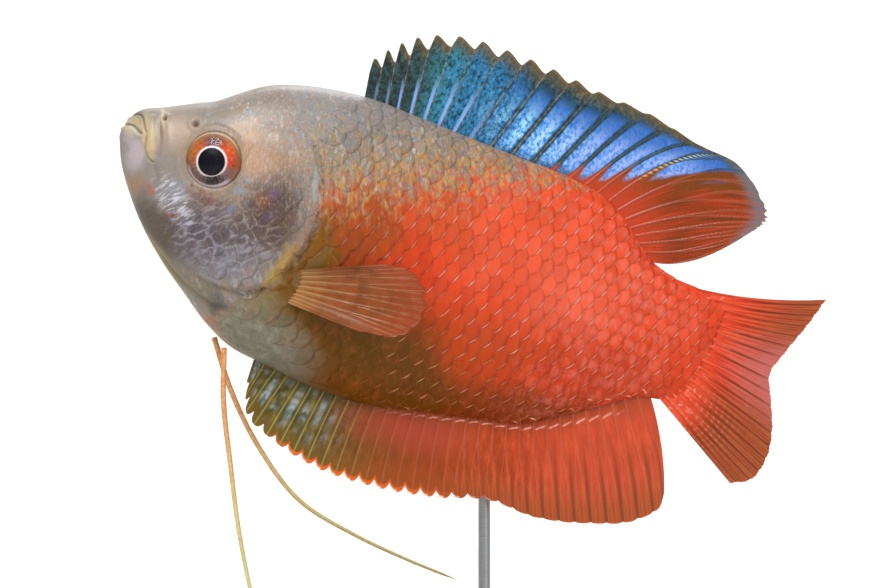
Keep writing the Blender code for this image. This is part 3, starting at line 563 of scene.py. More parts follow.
def closed_sheet(front, back):
    """Points and faces of a thin sheet between two grids of the same shape."""
    rows, columns = front.shape[:2]
    count = rows * columns
    quads = grid_faces(rows, columns)
    index = np.arange(count).reshape(rows, columns)
    loop = np.concatenate((index[0, :-1], index[:-1, -1], index[-1, :0:-1], index[:0:-1, 0]))
    after = np.roll(loop, -1)
    rim = np.stack((loop, loop + count, after + count, after), axis=1)
    faces = np.concatenate((quads, quads[:, ::-1] + count, rim[:, ::-1]))
    return np.concatenate((front.reshape(-1, 3), back.reshape(-1, 3))), faces


def edge_points(points, span, sink):
    """Even points of an outline between two stations, sunk below it."""
    u = np.linspace(*span, SPAN_POINTS)
    return list(zip(u, outline(points, u) + sink))


def fin_points(base, margin, bow, along, out, spread=(EVEN, EVEN)):
    """Flat (u, w) points of a fin whose rays bow; spread places them on base and margin."""
    root, tip = curve_at(base, smooth(spread[0], along)), curve_at(margin, smooth(spread[1], along))
    bend = np.stack([smooth(points, along) for points in bow], axis=-1)
    return root + (tip - root) * out[..., None] + bend * (4 * out * (1 - out))[..., None]


def fin_grid(rays, per_gap, rows):
    """Ray coordinate, counted in rays, and share out, as two grids."""
    across = np.linspace(0, rays - 1, (rays - 1) * per_gap + 1)
    return np.meshgrid(across, np.linspace(0, 1, rows), indexing="xy")


def ray_gap(points, across, out, spines, split):
    """Distance in mm to the nearest ray or branch; soft rays split twice on their way out."""
    width = np.linalg.norm(np.gradient(points, axis=1), axis=2) / np.gradient(across, axis=1)
    near = np.clip(np.round(across), 0, across.max())
    soft = near >= spines
    first = 0.24 * ramp(out, split, split + 0.5) * soft
    second = 0.11 * ramp(out, split + 0.28, split + 0.75) * soft
    offset = across - near
    gaps = [np.abs(offset - a * first - b * second) for a in (-1, 1) for b in (-1, 1)]
    return np.min(gaps, axis=0) * width


def build_fin(name, node, grid, points, normal, rays, look):
    """Fin membrane with raised tapering rays on both faces."""
    across, out = grid
    spines, split, radius = rays
    gap = ray_gap(points, across, out, spines, split)
    thin = radius * (1 - 0.72 * out)
    half = MEMBRANE * (1 - 0.5 * out) + thin * bell(gap, 0.75 * thin)
    offset = half[..., None] * np.asarray(normal)
    sheet, faces = closed_sheet(points - offset, points + offset)
    fin = np.stack((across, out, gap), axis=-1).reshape(-1, 3)
    piece = new_piece(name, to_world(sheet), faces, look, {"fin": np.tile(fin, (2, 1))})
    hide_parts(node)


def build_median_fin(part, grid, notch, base, margin, bow, wave, rays, look, spread=(EVEN, EVEN)):
    """Fin on the middle line with its slow wave; notch shortens it between its rays."""
    across, out = grid
    reach, share = out * (1 - notch), across / across.max()
    flat = fin_points(base, margin, bow, share, reach, spread)
    height, turn, phase = wave
    y = height * reach * np.sin(turn * share + phase)
    points = np.stack((flat[..., 0], y, flat[..., 1]), axis=-1)
    build_fin(f"{part}_fin_fine", f"{part}_fin", grid, points, (0, 1, 0), rays, look)


def build_dorsal(look):
    grid = fin_grid(DORSAL_RAYS, *DORSAL_MESH)
    across = grid[0]
    f = across % 1
    saw = np.where(f < 0.14, 1 - ramp(f, -0.04, 0.14), ramp(f, 0.14, 1.1))
    depth = 0.297 - 0.085 * ramp(across, 5, DORSAL_SPINES) - 0.2 * ramp(across, 1, 6)
    frayed = 0.03 * ramp(across, DORSAL_SPINES, DORSAL_SPINES + 4) * np.abs(np.sin(across * 6.1))
    build_median_fin("dorsal", grid, saw * depth + frayed, edge_points(BACK, DORSAL_SPAN, -FIN_SINK),
                     DORSAL_MARGIN, DORSAL_BOW, DORSAL_WAVE, DORSAL_FORM, look,
                     (DORSAL_ROOTS, DORSAL_TIPS))


def build_anal(look):
    grid = fin_grid(ANAL_RAYS, *ANAL_MESH)
    across = grid[0]
    depth = 0.182 - 0.07 * ramp(across, 14, 22) - 0.1 * ramp(across, 0.5, 5)
    notch = (2 * np.abs(across - np.round(across))) ** 3 * depth
    build_median_fin("anal", grid, notch, edge_points(BELLY, ANAL_SPAN, FIN_SINK), ANAL_MARGIN, ANAL_BOW,
                     ANAL_WAVE, ANAL_FORM, look)


def build_caudal(look):
    grid = fin_grid(CAUDAL_RAYS, *CAUDAL_MESH)
    across = grid[0]
    notch = 0.032 * (across - np.round(across)) ** 2 + 0.005 * np.abs(np.sin(across * 9.7))
    build_median_fin("caudal", grid, notch, CAUDAL_BASE, CAUDAL_MARGIN, CAUDAL_BOW, CAUDAL_WAVE,
                     CAUDAL_FORM, look)


def build_pectorals(look):
    inner = half_width_at(*np.array(PECTORAL_BASE[1])) - FIN_SINK
    across, out = grid = fin_grid(PECTORAL_RAYS, *PECTORAL_MESH)
    reach = out * (1 - 0.12 * (across - np.round(across)) ** 2)
    flat = fin_points(PECTORAL_BASE, PECTORAL_MARGIN, (FLAT, FLAT), across / across.max(), reach)
    y = inner + (FIN_SINK + PECTORAL_REACH) * (1 - (1 - reach) ** 2)
    for label, side in SIDES:
        points = np.stack((flat[..., 0], side * y, flat[..., 1]), axis=-1)
        face = np.array((-PECTORAL_SLANT, side, 0)) / math.hypot(PECTORAL_SLANT, 1)
        build_fin(f"pectoral_fine_{label}", f"pectoral_fin_{label}", grid, points, face, PECTORAL_FORM,
                  look)


def build_dome(name, side, radii, heights, look):
    """Round shell of an eye, from the radii and heights of its rings."""
    turn = side * EYE_TURN
    centre = (EYE[0], side * (half_width_at(*EYE) + EYE_PROUD - EYE_DEPTH), EYE[1])
    axes = np.array(((math.cos(turn), math.sin(turn), 0), (0, 0, 1),
                     (-side * math.sin(turn), side * math.cos(turn), 0)))
    angles = np.linspace(0, 2 * math.pi, EYE_SIDES, endpoint=False)
    iris = np.stack((np.outer(radii, np.cos(angles)), np.outer(radii, np.sin(angles)),
                     np.outer(heights, np.ones(EYE_SIDES))), axis=-1)
    faces = grid_faces(len(radii), EYE_SIDES, wrap=True)[:, ::side]
    layers = {"iris": iris.reshape(-1, 3) / EYE_RADIUS}
    return new_piece(name, to_world(centre + iris @ axes), faces, look, layers)


def build_eye(label, side, ball_look, cornea_look):
    """Eyeball with its iris in a shallow dish, under a clear cornea."""
    r = np.linspace(0.0004, 0.998, EYE_RINGS) * 0.985
    rim = EYE_DEPTH * np.sqrt(1 - r * r)
    pupil = PUPIL_RADIUS / EYE_RADIUS
    dish = 0.35 - 0.3 * ramp(r, 0.62, 0.98)
    bulge = 0.16 * (1 - ramp(r, pupil * 0.2, pupil * 1.02))
    ball = build_dome(f"eyeball_{label}", side, EYE_RADIUS * r, rim - dish + bulge, ball_look)
    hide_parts(f"eye_{label}")
    build_dome(f"cornea_{label}", side, EYE_RADIUS * r, rim, cornea_look)


def sweep_tube(centres, radii, sides):
    """Rings of a tube along a line, with the faces between them."""
    forward = np.gradient(centres, axis=0)
    forward /= np.linalg.norm(forward, axis=1, keepdims=True)
    first = np.cross(forward, (0.0, 1.0, 0.0))
    first /= np.linalg.norm(first, axis=1, keepdims=True)
    second = np.cross(forward, first)
    angles = np.linspace(0, 2 * math.pi, sides, endpoint=False)[None, :, None]
    spokes = np.cos(angles) * first[:, None] + np.sin(angles) * second[:, None]
    return centres[:, None] + radii[:, None, None] * spokes, grid_faces(len(centres), sides, wrap=True)


def build_feeler(label, shape, look):
    """One tapered thread from the breast down its route."""
    root_w = float(outline(BELLY, shape["root"])) - FEELER_GAP
    root_y = shape["side"] * FEELER_ROOT_Y
    points = [tuple(to_world((shape["root"], root_y, root_w)) / MM)]
    for k, (x, z) in enumerate(shape["route"], 1):
        share = (k / len(shape["route"])) ** 1.5
        points.append((x, root_y + (shape["end_y"] - root_y) * share, z))
    s = np.linspace(0, 1, FEELER_POINTS)
    radii = FEELER_RADIUS * (1 - (1 - FEELER_TIP) * s ** 1.6) * (1 + 0.035 * np.sin(s * 260))
    radii[-6:] *= np.linspace(1, 0.15, 6)
    rings, faces = sweep_tube(curve_at(points, s), radii, FEELER_SIDES)
    layers = {"run": np.repeat(s, FEELER_SIDES)}
    piece = new_piece(f"feeler_{label}", rings * MM, faces, look, layers)
    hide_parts(*[f"pelvic_feeler_{label}_{k}" for k in (1, 2, 3)])


def build_base(look):
    """Oval wooden base with a moulded edge."""
    angles = np.linspace(0, 2 * math.pi, BASE_SIDES, endpoint=False)
    half_x, half_y = BASE_LENGTH / 2, BASE_DEPTH / 2
    top = [(half_y * share, half_x * share, BASE_HEIGHT) for share in (0.3, 0.6, 0.85, 0.999)]
    rings = []
    for inset_y, inset_x, height in [(inset, inset, height) for inset, height in BASE_EDGE] + top:
        x = BASE_X + (half_x - inset_x) * np.cos(angles)
        rings.append(np.stack((x, (half_y - inset_y) * np.sin(angles), 0 * angles + height), axis=1))
    rings.insert(0, rings[-1] * (1, 1, 0))
    faces = grid_faces(len(rings), BASE_SIDES, wrap=True)
    base = new_piece("base_wood", np.array(rings) * MM, faces, look, {})
    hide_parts("stand_base")


def build_rod(look):
    """Thin steel rod from inside the base up to the belly."""
    heights = np.concatenate((np.linspace(BASE_HEIGHT - 1, BASE_HEIGHT, 4),
                              np.linspace(BASE_HEIGHT, ROD_TOP, 60)))
    heights += RING_GAP * np.arange(len(heights))
    centres = np.stack((0 * heights + ROD_X, 0 * heights + ROD_Y, heights), axis=1)
    tube, faces = sweep_tube(centres, 0 * heights + ROD_RADIUS, ROD_SIDES)
    rod = new_piece("rod_steel", tube * MM, faces, look, {})
    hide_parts("stand_rod")


def colour(code):
    """Linear colour of a six-figure sRGB code."""
    parts = [int(code[k:k + 2], 16) / 255 for k in (0, 2, 4)]
    return (*[c / 12.92 if c <= 0.04045 else ((c + 0.055) / 1.055) ** 2.4 for c in parts], 1.0)


def feed(socket, value):
    """Link a value to a socket, or set a number, a vector or a colour code on it."""
    if isinstance(value, Value):
        value.tree.links.new(value.socket, socket)
    elif value is not None:
        socket.default_value = colour(value) if isinstance(value, str) else value


def add(kind, *inputs, out=0, tree=None, **settings):
    """Add a node to the tree of its inputs, and return one of its outputs."""
    tree = tree or next(value.tree for value in inputs if isinstance(value, Value))
    node = tree.nodes.new("ShaderNode" + kind)
    for key, value in settings.items():
        setattr(node, key, value)
    for socket, value in zip(node.inputs, inputs):
        feed(socket, value)
    return Value(tree, node.outputs[out])


def mix(share, a, b):
    """Colour between a and b."""
    return add("Mix", share, *[None] * 5, a, b, out=2, data_type="RGBA")


def between(share, a, b):
    """Number between a and b."""
    return add("Mix", share, None, a, b)


def coats(base, *layers):
    """Lay colours over a base, each by its share."""
    for share, tint in layers:
        base = mix(share, base, tint)
    return base


def flat_place(a, b):
    return add("CombineXYZ", a, b, 0)


class Value:
    """Output of a node. Operators and methods add the nodes that work on it."""

    def __init__(self, tree, socket):
        self.tree = tree
        self.socket = socket

    def math(self, operation, *others):
        return add("Math", self, *others, operation=operation)

    def __add__(self, other):
        return self.math("ADD", other)

    def __sub__(self, other):
        return self.math("SUBTRACT", other)

    def __rsub__(self, other):
        return add("Math", other, self, operation="SUBTRACT")

    def __mul__(self, other):
        return self.math("MULTIPLY", other)

    def __pow__(self, power):
        return self.math("POWER", power)

    def __mod__(self, length):
        return self.math("FLOORED_MODULO", length)

    def __abs__(self):
        return self.math("ABSOLUTE")

    def ramp(self, start, end, high=1, low=0):
        """Smooth step from low at start to high at end."""
        return add("MapRange", self, start, end, low, high, interpolation_type="SMOOTHSTEP")

    def split(self):
        """Three parts of a vector or colour."""
        first = add("SeparateXYZ", self)
        return [Value(self.tree, socket) for socket in first.socket.node.outputs]

    def mapping(self, shift=(0, 0, 0), turn=(0, 0, 0), scale=(1, 1, 1), kind="POINT"):
        return add("Mapping", self, shift, turn, scale, vector_type=kind)

    def stretch(self, *scale):
        return self.mapping(scale=scale)

    def turned(self, degrees):
        return self.mapping(turn=(0, 0, math.radians(degrees)))

    def patch(self, centre, radii, turn):
        """Soft oval: 1 at its centre, 0 at its edge."""
        oval = self.mapping((*centre, 0), (0, 0, math.radians(turn)), (*radii, 1), "TEXTURE")
        return add("TexGradient", oval, gradient_type="SPHERICAL", out=1)

    def noise(self, scale, detail=2, roughness=0.5, out=0):
        return add("TexNoise", self, None, scale, detail, roughness, out=out)

    def picks(self, *stops):
        """Colour ramp through (position, colour code) stops."""
        value = add("ValToRGB", self)
        elements = value.socket.node.color_ramp.elements
        while len(elements) < len(stops):
            elements.new(0.5)
        for element, (position, code) in zip(elements, stops):
            element.position = position
            element.color = colour(code)
        return value

    def bump(self, strength, distance):
        return add("Bump", strength, distance, None, self)


class Look:
    """A node material, with the values that its textures start from."""

    def __init__(self, name):
        self.material = bpy.data.materials.new(name)
        self.material.use_nodes = True
        self.tree = self.material.node_tree
        self.raw_place, self.place = places(self.tree)

    def layer(self, name):
        return add("Attribute", tree=self.tree, attribute_name=name, out=2)

    def layers(self, name):
        """Three parts of a vector layer."""
        return add("Attribute", tree=self.tree, attribute_name=name, out=1).split()

    def markings(self, group):
        """Colour, share of the back and share of the head, from the shared group."""
        first = add("Group", tree=self.tree, node_tree=group)
        return [Value(self.tree, socket) for socket in first.socket.node.outputs]

    def finish(self, tint, roughness, normal, specular=0.5, coat=0.0, coat_roughness=0.03, **others):
        """Feed the shader; the other inputs' names are written with _ for a space."""
        values = {"Base Color": tint, "Roughness": roughness, "Normal": normal,
                  "Specular IOR Level": specular, "Coat Weight": coat, "Coat Roughness": coat_roughness}
        values.update({name.replace("_", " "): value for name, value in others.items()})
        for name, value in values.items():
            feed(self.tree.nodes["Principled BSDF"].inputs[name], value)
        return self.material


def places(tree):
    """Place in the model's frame in metres, and in the fish frame in mm."""
    raw = add("TexCoord", tree=tree, out=3)
    return raw, raw.mapping((SNOUT_X * MM, 0, SNOUT_Z * MM), (0, PITCH, 0), (MM,) * 3, "TEXTURE")


# Markings of the flank and head, among them a few painted shadows and highlights: colour, centre (u, w),
# radii, turn, hardness, strength
PATCHES = [
    ("e85632", (44, 3), (16, 8), 0, 0.2, 0.9),
    ("f06246", (48, 0), (10, 5), -15, 0.0, 0.85),
    ("cc3c14", (53, -6), (12, 6), 10, 0.1, 0.9),
    ("b8430f", (38, -8), (16, 5.5), 12, 0.2, 0.8),
    ("a04a1a", (26, 0), (6.5, 9.5), 0, 0.25, 0.95),
    ("ac5228", (33, 3.5), (7.5, 4.8), -15, 0.0, 0.55),
    ("8c3a06", (46, -12.5), (16, 3.8), 12, 0.3, 0.9),
    ("7c4a0a", (27, -12), (14, 8.5), 0, 0.5, 1.0),
    ("784602", (32, -14.2), (13, 6.6), 4, 0.4, 0.98),
    ("704a04", (27.5, -10.5), (8.0, 5.5), 0, 0.35, 0.95),
    # Next two: olive-brown painted shadow behind the gill cover's edge
    ("7a5410", (23.0, -4.5), (2.8, 6.5), 8, 0.4, 0.95),
    ("6e5010", (21.5, -8.5), (4.8, 5.5), 0, 0.4, 0.95),
    ("80704a", (18.6, -11.0), (4.0, 2.6), 10, 0.3, 0.95),
    ("7e7b68", (20.0, -14.6), (9.0, 5.2), -10, 0.3, 1.0),
]
HEAD_PATCHES = [
    ("5a5058", (11.5, -6.5), (8.5, 5.5), 20, 0.3, 0.95),
    ("553e3c", (17.5, -2.5), (4.6, 6.3), 10, 0.2, 0.9),
    ("7c7c88", (15, -8.6), (4.5, 2.6), 20, 0.1, 0.7),
    ("a88262", (16.5, 3.2), (5, 3.2), 20, 0.0, 0.6),
    ("a8602e", (16.1, -1), (1.5, 1.1), 0, 0.0, 0.4),
    ("dab496", (12.6, 4.6), (3.2, 1.8), 10, 0.0, 0.6),
    ("cca284", (13.6, 2.4), (3.4, 2.8), 0, 0.0, 0.7),
    ("82766e", (15.5, 9.2), (9.5, 3.6), -2, 0.1, 0.55),
    # Reddish-brown painted shadow below the eye
    ("7a4038", (10.6, -2.7), (3.2, 1.5), 0, 0.0, 0.5),
    ("a88450", (9.8, 0.95), (4.1, 4.1), 0, 0.3, 0.6),
    ("b89c88", (5.4, 2.2), (3.4, 3.4), 30, 0.1, 0.8),
    ("b5a8ae", (2.3, -1.0), (1.8, 2.6), 25, 0.3, 0.92),
    ("a87850", (3.2, -4.2), (1.9, 1.6), 20, 0.0, 0.7),
    ("a8604a", (5.1, -4.0), (1.1, 0.9), 20, 0.1, 0.7),
    ("8a443c", (7.7, -5.9), (1.0, 0.8), 20, 0.1, 0.7),
    ("8f929f", (7.6, -3.2), (1.9, 1.6), -40, 0.2, 0.75),
    # Painted shade under the chin, which faces away from the light
    ("54463c", (6.6, -7.6), (5.0, 3.0), -38, 0.3, 0.9),
    ("484a40", (15.5, -12.6), (3.8, 1.9), -18, 0.1, 0.85),
    ("7a7452", (12.2, -11.8), (3.2, 1.7), -20, 0.0, 0.6),
    ("b08a3c", (20.2, -6.6), (1.5, 3.8), -20, 0.1, 0.85),
]
HEAD_DETAILS = [
    ("cbbfa4", (1.1, 1.3), (1.6, 1.3), 0, 0.3, 0.8),
    ("b8a47c", (1.35, 1.95), (0.9, 0.7), -20, 0.3, 0.7),
    ("c8b488", (3.1, 0.9), (0.9, 3.2), 28, 0.4, 0.85),
    # Next two: painted highlight and painted shade along a fold of the snout
    ("ddd0b4", (3.75, 3.1), (0.5, 1.3), 25, 0.2, 0.7),
    ("7a6a50", (4.2, 1.8), (0.25, 2.4), 26, 0.1, 0.6),
    # Painted shade over the upper lip
    ("6a584c", (0.7, 2.6), (1.1, 0.45), 35, 0.2, 0.7),
    ("86794a", (8.8, -10.5), (4.4, 0.95), -38, 0.5, 0.95),
    ("9c9468", (8.0, -9.9), (2.2, 0.35), -38, 0.3, 0.6),
    ("9caaac", (20.75, 1.5), (0.42, 3.1), 22, 0.5, 0.75),
    ("8f9cc0", (13.7, -1.1), (0.9, 0.6), 20, 0.0, 0.5),
    ("8a94bc", (13.4, -3.2), (0.5, 1.1), 0, 0.0, 0.45),
    ("705a80", (17.0, -0.3), (0.9, 1.1), 30, 0.0, 0.5),
    ("5e4a70", (17.1, -2.5), (1.1, 0.9), 30, 0.0, 0.5),
    ("c0a050", (19.4, -8.4), (0.45, 2.2), -32, 0.3, 0.85),
]
# Silvery patch below the eye, and the pale net over the cheek
SILVER = (7.9, -4.2), (4.2, 1.9), -35
NET = (13.6, -5.6), (8.0, 5.6), -10


def lay_patches(flat, base, patches):
    for code, centre, radii, turn, hardness, strength in patches:
        share = flat.patch(centre, radii, turn).ramp(0, max(1 - hardness, 0.05), strength)
        base = mix(share, base, code)
    return base


def build_markings():
    """Node group with the colours that the skin and the scales share."""
    group = bpy.data.node_groups.new("markings", "ShaderNodeTree")
    for name, kind in (("Colour", "Color"), ("Back", "Float"), ("Head", "Float")):
        group.interface.new_socket(name, in_out="OUTPUT", socket_type="NodeSocket" + kind)
    raw, place = places(group)
    drift = place.noise(0.45, 3, 0.6, out=1)
    flats = []
    for reach in (0.6, 3.2):
        shift = drift.mapping((-reach / 2,) * 3, scale=(reach,) * 3)
        u, _, w = place.mapping(shift).split()
        flats.append(flat_place(u, w))
    crisp, flat = flats

    mottle = place.noise(1.1, 4, 0.7)
    pale = u.ramp(27, 21) * w.ramp(-10, -13)
    flank = coats(lay_patches(flat, "e0441c", PATCHES),
                  (pale * mottle.ramp(0.5, 0.66, 0.45), "545438"),
                  (pale * mottle.ramp(0.5, 0.36, 0.4), "a8a48a"))
    upright = raw.stretch(2500, 2500, 1000)
    grain = upright.noise(1, 2, 0.6)
    over = w + (u * -0.48 + 9.76) + grain.ramp(0.25, 0.75, 2.8, -2.8)
    back = over.ramp(-3.4, 2.8)
    fleck = add("TexVoronoi", upright.stretch(1.5, 1.5, 1.35), None, 1, out=1).split()
    flecks = fleck[0].picks((0, "6c7084"), (0.25, "8f8a80"), (0.45, "a88a50"), (0.62, "8a7a60"),
                            (0.78, "c07038"), (0.9, "9298b4"), (1, "d8d0c4"))
    fine = upright.noise(2.2, 3, 0.7)
    grey = coats(mix(0.55, "8e8676", flecks),
                 (fine.ramp(0.5, 0.75, 0.45), "dcd4c0"),
                 (fine.ramp(0.5, 0.28, 0.3), "5a5248"),
                 (over.ramp(4.5, 0, 0.45), "b8683a"),
                 (fleck[1].ramp(0.55, 0.8) * over.ramp(8, 1, 0.7, 0.1), "c89c50"),
                 (over.ramp(4, 10, 0.5), "838994"))

    head = mix(u.ramp(5.5, 12, 0.4, 0.05), "8b857f", flecks)
    head = lay_patches(flat, head, HEAD_PATCHES)
    light = fine.ramp(0.5, 0.75) * u.ramp(7, 12, 0.4, 0.05) * w.ramp(-4, 0, 1, 0.25)
    dusk = fine.ramp(0.48, 0.3) * u.ramp(7, 12, 0.35, 0.05)
    head = lay_patches(crisp, coats(head, (light, "ddd0bc"), (dusk, "5c5058")), HEAD_DETAILS)
    shine = crisp.turned(-48).stretch(0.7, 2.6, 1).noise(1, 3, 0.6)
    silver = crisp.patch(*SILVER) * shine.ramp(0.42, 0.66)
    wander = crisp.mapping(place.noise(1.1, 2, 0.5, out=1).stretch(1.1, 1.1, 0))
    near = add("TexVoronoi", wander.turned(-40).stretch(0.6, 1.05, 1), None, 1, feature="DISTANCE_TO_EDGE")
    net = near.ramp(0.15, 0.02) * shine.ramp(0.36, 0.6, 1, 0.1) * flat.patch(*NET).ramp(0, 0.5, 0.55)
    head = coats(head, (silver.ramp(0, 0.6, 0.9), "cfd0e0"),
                 (net, mix(w.ramp(-5.5, -1.5), "a9a6b0", "a8906c")))
    head_share = (u + abs(w + 2) ** 2 * 0.052).ramp(22.6, 21.2)
    result = mix(head_share, mix(back, flank, grey), head)

    outputs = group.nodes.new("NodeGroupOutput")
    for socket, value in zip(outputs.inputs, (result, back, head_share)):
        feed(socket, value)
    return group


def skin_look(markings):
    look = Look("skin_wet")
    pores = look.place.noise(5, 3, 0.6)
    # Pale and dark pores, then the painted shade of the creases from the skin's shade layer
    tint = coats(look.markings(markings)[0],
                 (pores.ramp(0.45, 0.75, 0.05), "f0e2d0"),
                 (pores.ramp(0.5, 0.3, 0.06), "4a3a38"),
                 (look.layer("shade") * 0.9, "2a1712"))
    return look.finish(tint, pores.ramp(0.3, 0.7, 0.46, 0.3), pores.bump(0.35, 8e-5), 0.35, 0.08, 0.2,
                       Subsurface_Weight=0.12, Subsurface_Radius=(1, 0.45, 0.3), Subsurface_Scale=0.0006)


def scale_look(markings):
    """Wet scales: the shared markings, painted shade at the roots, lighter middles, painted light along the
    rims and a pale stroke near the rim, a painted highlight on the flank.
    """
    look = Look("scale_wet")
    tint, back, head = look.markings(markings)
    along, across, edge = look.layers("plate")
    chance = look.layer("tint")
    u, _, high = look.place.split()
    grain = look.place.noise(6, 3, 0.6)
    streaks = look.place.stretch(1.2, 1.2, 0.5).noise(1.6, 3, 0.6)
    clouds = look.place.noise(0.22)
    flank = 1 - head
    red = flank * (1 - back)
    belly = u.ramp(38, 29) * high.ramp(-7, -9.5)

    rosy = clouds.ramp(0.45, 0.7, 0.4) * u.ramp(28, 40) * high.ramp(-9, -4)
    tint = mix(red * rosy, tint, "ee6648")
    tint = mix(red * streaks.ramp(0.45, 0.75, 0.4), tint, mix(0.35, tint, "ff7a4c"))
    tint = mix(flank * chance.ramp(1, 0, 0.16), tint, "3a1408")
    # Painted shade at each scale's root, where it lies under the rims of the scales before it
    root = along.ramp(0.85, 0.35, 0.38) * back.ramp(0, 1, 0.1, 0.15) * belly.ramp(0, 1, 0.3, 1)
    root *= between(head, 1, high.ramp(-2, 1, 0.5, 4))
    middle = abs(across).ramp(0.75, 0.1) * along.ramp(0.2, 0.6) * u.ramp(42, 52, 0.4)
    middle *= streaks.ramp(0.4, 0.6, 1, 0.1) * u.ramp(57, 60.5, 0.1, 1)
    tint = mix(middle * red, tint, "ea7c6c")
    tint = mix(root, tint, mix(0.55, tint, mix(head, "501804", "2c2430")))
    # Painted light along each rim, which offsets the shade of the scale's edge
    tint = mix(edge.ramp(0.1, 0, 0.3) * red * belly.ramp(0, 1, 0.25, 1), tint, "ff7450")

    # Pale stroke near each scale's rear end: on the flank a straight painted highlight, on the head a pale
    # line along the rim in the scale's own colour
    lean = high.ramp(3, -11, 0.72, 0.32)
    aft = along * ((1 - across * across) ** 0.5 + 1) - 1
    inset = across * lean.math("SINE") + (1 - aft * lean.math("COSINE"))
    dash = (inset - (streaks * 0.14 + 0.03)).ramp(0.02, -0.05)
    rim = (edge - (streaks * 0.16 + 0.07)).ramp(0.05, -0.1) * streaks.ramp(0.4, 0.55, 0.5, 0.1)
    highlight_and_rim_line = between(head, dash, rim) * chance.ramp(0, 0.7, 1, 0.4)
    highlight_and_rim_line *= clouds.ramp(0.35, 0.55, 1, 0.55) * belly.ramp(0, 1, 0.15, 1)
    highlight_and_rim_line *= between(head, u.ramp(24, 32, 1, 0.4), 1)
    calm = (1 - back) * high.ramp(-0.5, 2.5, 0.15, 1)
    highlight_and_rim_line *= between(head, back.ramp(0, 0.9, 0.15, 1), calm)
    warm = clouds.ramp(0.42, 0.58)
    highlight_and_rim_tint = coats(mix(warm, "ffa47c", "ffb8a8"),
                     (high.ramp(-6, -11), "e8a478"),
                     (head, mix(warm, "b4aeb6", "a8905c")))
    relief_height = (edge * 60).math("SINE") * 0.2 + grain
    return look.finish(mix(highlight_and_rim_line, tint, highlight_and_rim_tint), grain.ramp(0.3, 0.7, 0.48, 0.32),
                       relief_height.bump(0.25, 5e-5), 0.15, 0.03, 0.15)


def finish_fin(look, body, grain, gap, out, gloss, bump, **others):
    """Finish a fin's look, with the fine cross joints of its rays."""
    joints = (out * 190).math("SINE") * gap.ramp(0.25, 0.05, 0.25)
    return look.finish(body, grain.ramp(*gloss), (grain + joints).bump(*bump), 0.25, 0.08, 0.2, **others)


def dorsal_look():
    """Dorsal fin: slate and teal in front, blue streaks between the rays, red and brown behind."""
    look = Look("dorsal_sheen")
    across, out, gap = look.layers("fin")
    u, _, w = look.place.split()
    f = across % 1
    broad = flat_place(across, out * 3).noise(1.3)
    fine = look.place.stretch(1, 1, 0.7).noise(3.2, 4, 0.65)
    slate = fine.picks((0.3, "151c1e"), (0.5, "2a3838"), (0.62, "3c5c5c"), (0.75, "2c4460"))
    teal = fine.picks((0.3, "122a30"), (0.42, "1c5460"), (0.52, "3f8a80"), (0.62, "2f78b8"), (0.78, "7ab8d8"))
    blue = fine.picks((0.25, "1c4a7c"), (0.4, "3078c8"), (0.52, "64a8f0"), (0.62, "a8d4ff"), (0.75, "dff2ff"))
    dark = fine.picks((0.35, "17242c"), (0.5, "22404e"), (0.65, "2c5c78"))
    azure = fine.picks((0.3, "122838"), (0.42, "184c64"), (0.52, "2a6ea4"), (0.62, "3f88b4"),
                       (0.78, "84bcd8"))

    # Blue and teal front
    teal = mix((broad * 5 + u).ramp(29.5, 34.5, 0.9, 0.1), teal, azure)
    reach = fine * 0.25 + out - u.ramp(42, 52, 0.1)
    streak = f.ramp(0.04, 0.2) * f.ramp(0.92, 0.74) * reach.ramp(1, 0.76) * out.ramp(0.08, 0.2, 1, 0.35)
    core = abs(f - 0.55).ramp(0.3, 0) * out.ramp(0.1, 0.3) * out.ramp(0.8, 0.5)
    blue = coats(blue, (core * fine.ramp(0.38, 0.55, 0.75, 0.1), mix(u.ramp(35, 46), "a4ecf8", "c0ccff")),
                 (u.ramp(38, 48, 0.35), "6482e0"),
                 ((fine * 0.5 + out).ramp(0.7, 1, 0.75), "245cb0"))
    line = f.ramp(0.72, 0.82) * f.ramp(0.99, 0.94) * out.ramp(0.7, 0.35) * u.ramp(36, 31)
    body = coats(slate, (u.ramp(25.5, 29.5), teal),
                 ((broad * 6 + u).ramp(35.5, 42), mix(streak.ramp(0, 0.9), dark, blue)),
                 (line * u.ramp(23, 26, 0.9, 0.4), "7fb0f4"))

    # Red rear, brown margin, spines and one beaded ray
    edge = w + (u * -0.34 + 2.7) + abs(f - 0.5).ramp(0.1, 0.5) * -1.3 + broad * 1.6
    along = flat_place(across * 3, out).noise(2.2, 3, 0.6)
    red = coats(along.picks((0.3, "662e08"), (0.46, "84380e"), (0.6, "a63614"), (0.75, "cc4a30")),
                (edge.ramp(-2.4, -0.3, 0.85), "744010"),
                (out.ramp(0.4, 0, 0.75), "cc4426"))
    share = edge.ramp(0.5, -0.4) * u.ramp(40, 44)
    smoke = mix(u.ramp(56, 61), mix(fine.ramp(0.45, 0.7), "50503e", "7c6c42"), "66747e")
    bone = coats(mix(fine.ramp(0.4, 0.6), "4c4a42", "8a8674"), (u.ramp(40, 46), "3c4650"), (share, "b05c3c"))
    beads = abs(across - 16).ramp(0.14, 0) * (out * 160).math("SINE").ramp(-0.6, 0.6)
    beads *= out.ramp(0.22, 0.3) * out.ramp(0.95, 0.7, 0.85)
    body = coats(body, (share, red),
                 ((fine * 0.12 + out).ramp(0.88, 1.02, 0.85), smoke),
                 (out.ramp(0.97, 0.99) * u.ramp(60, 56, 0.6), "94602c"),
                 (gap.ramp(0.12, 0.05) * between(share, 0.9, 0.45), bone),
                 (beads, mix(out.ramp(0.4, 0.6), "e0bc70", "c8d0d0")))
    return finish_fin(look, body, fine, gap, out, (0.35, 0.7, 0.24, 0.36), (0.3, 6e-5))


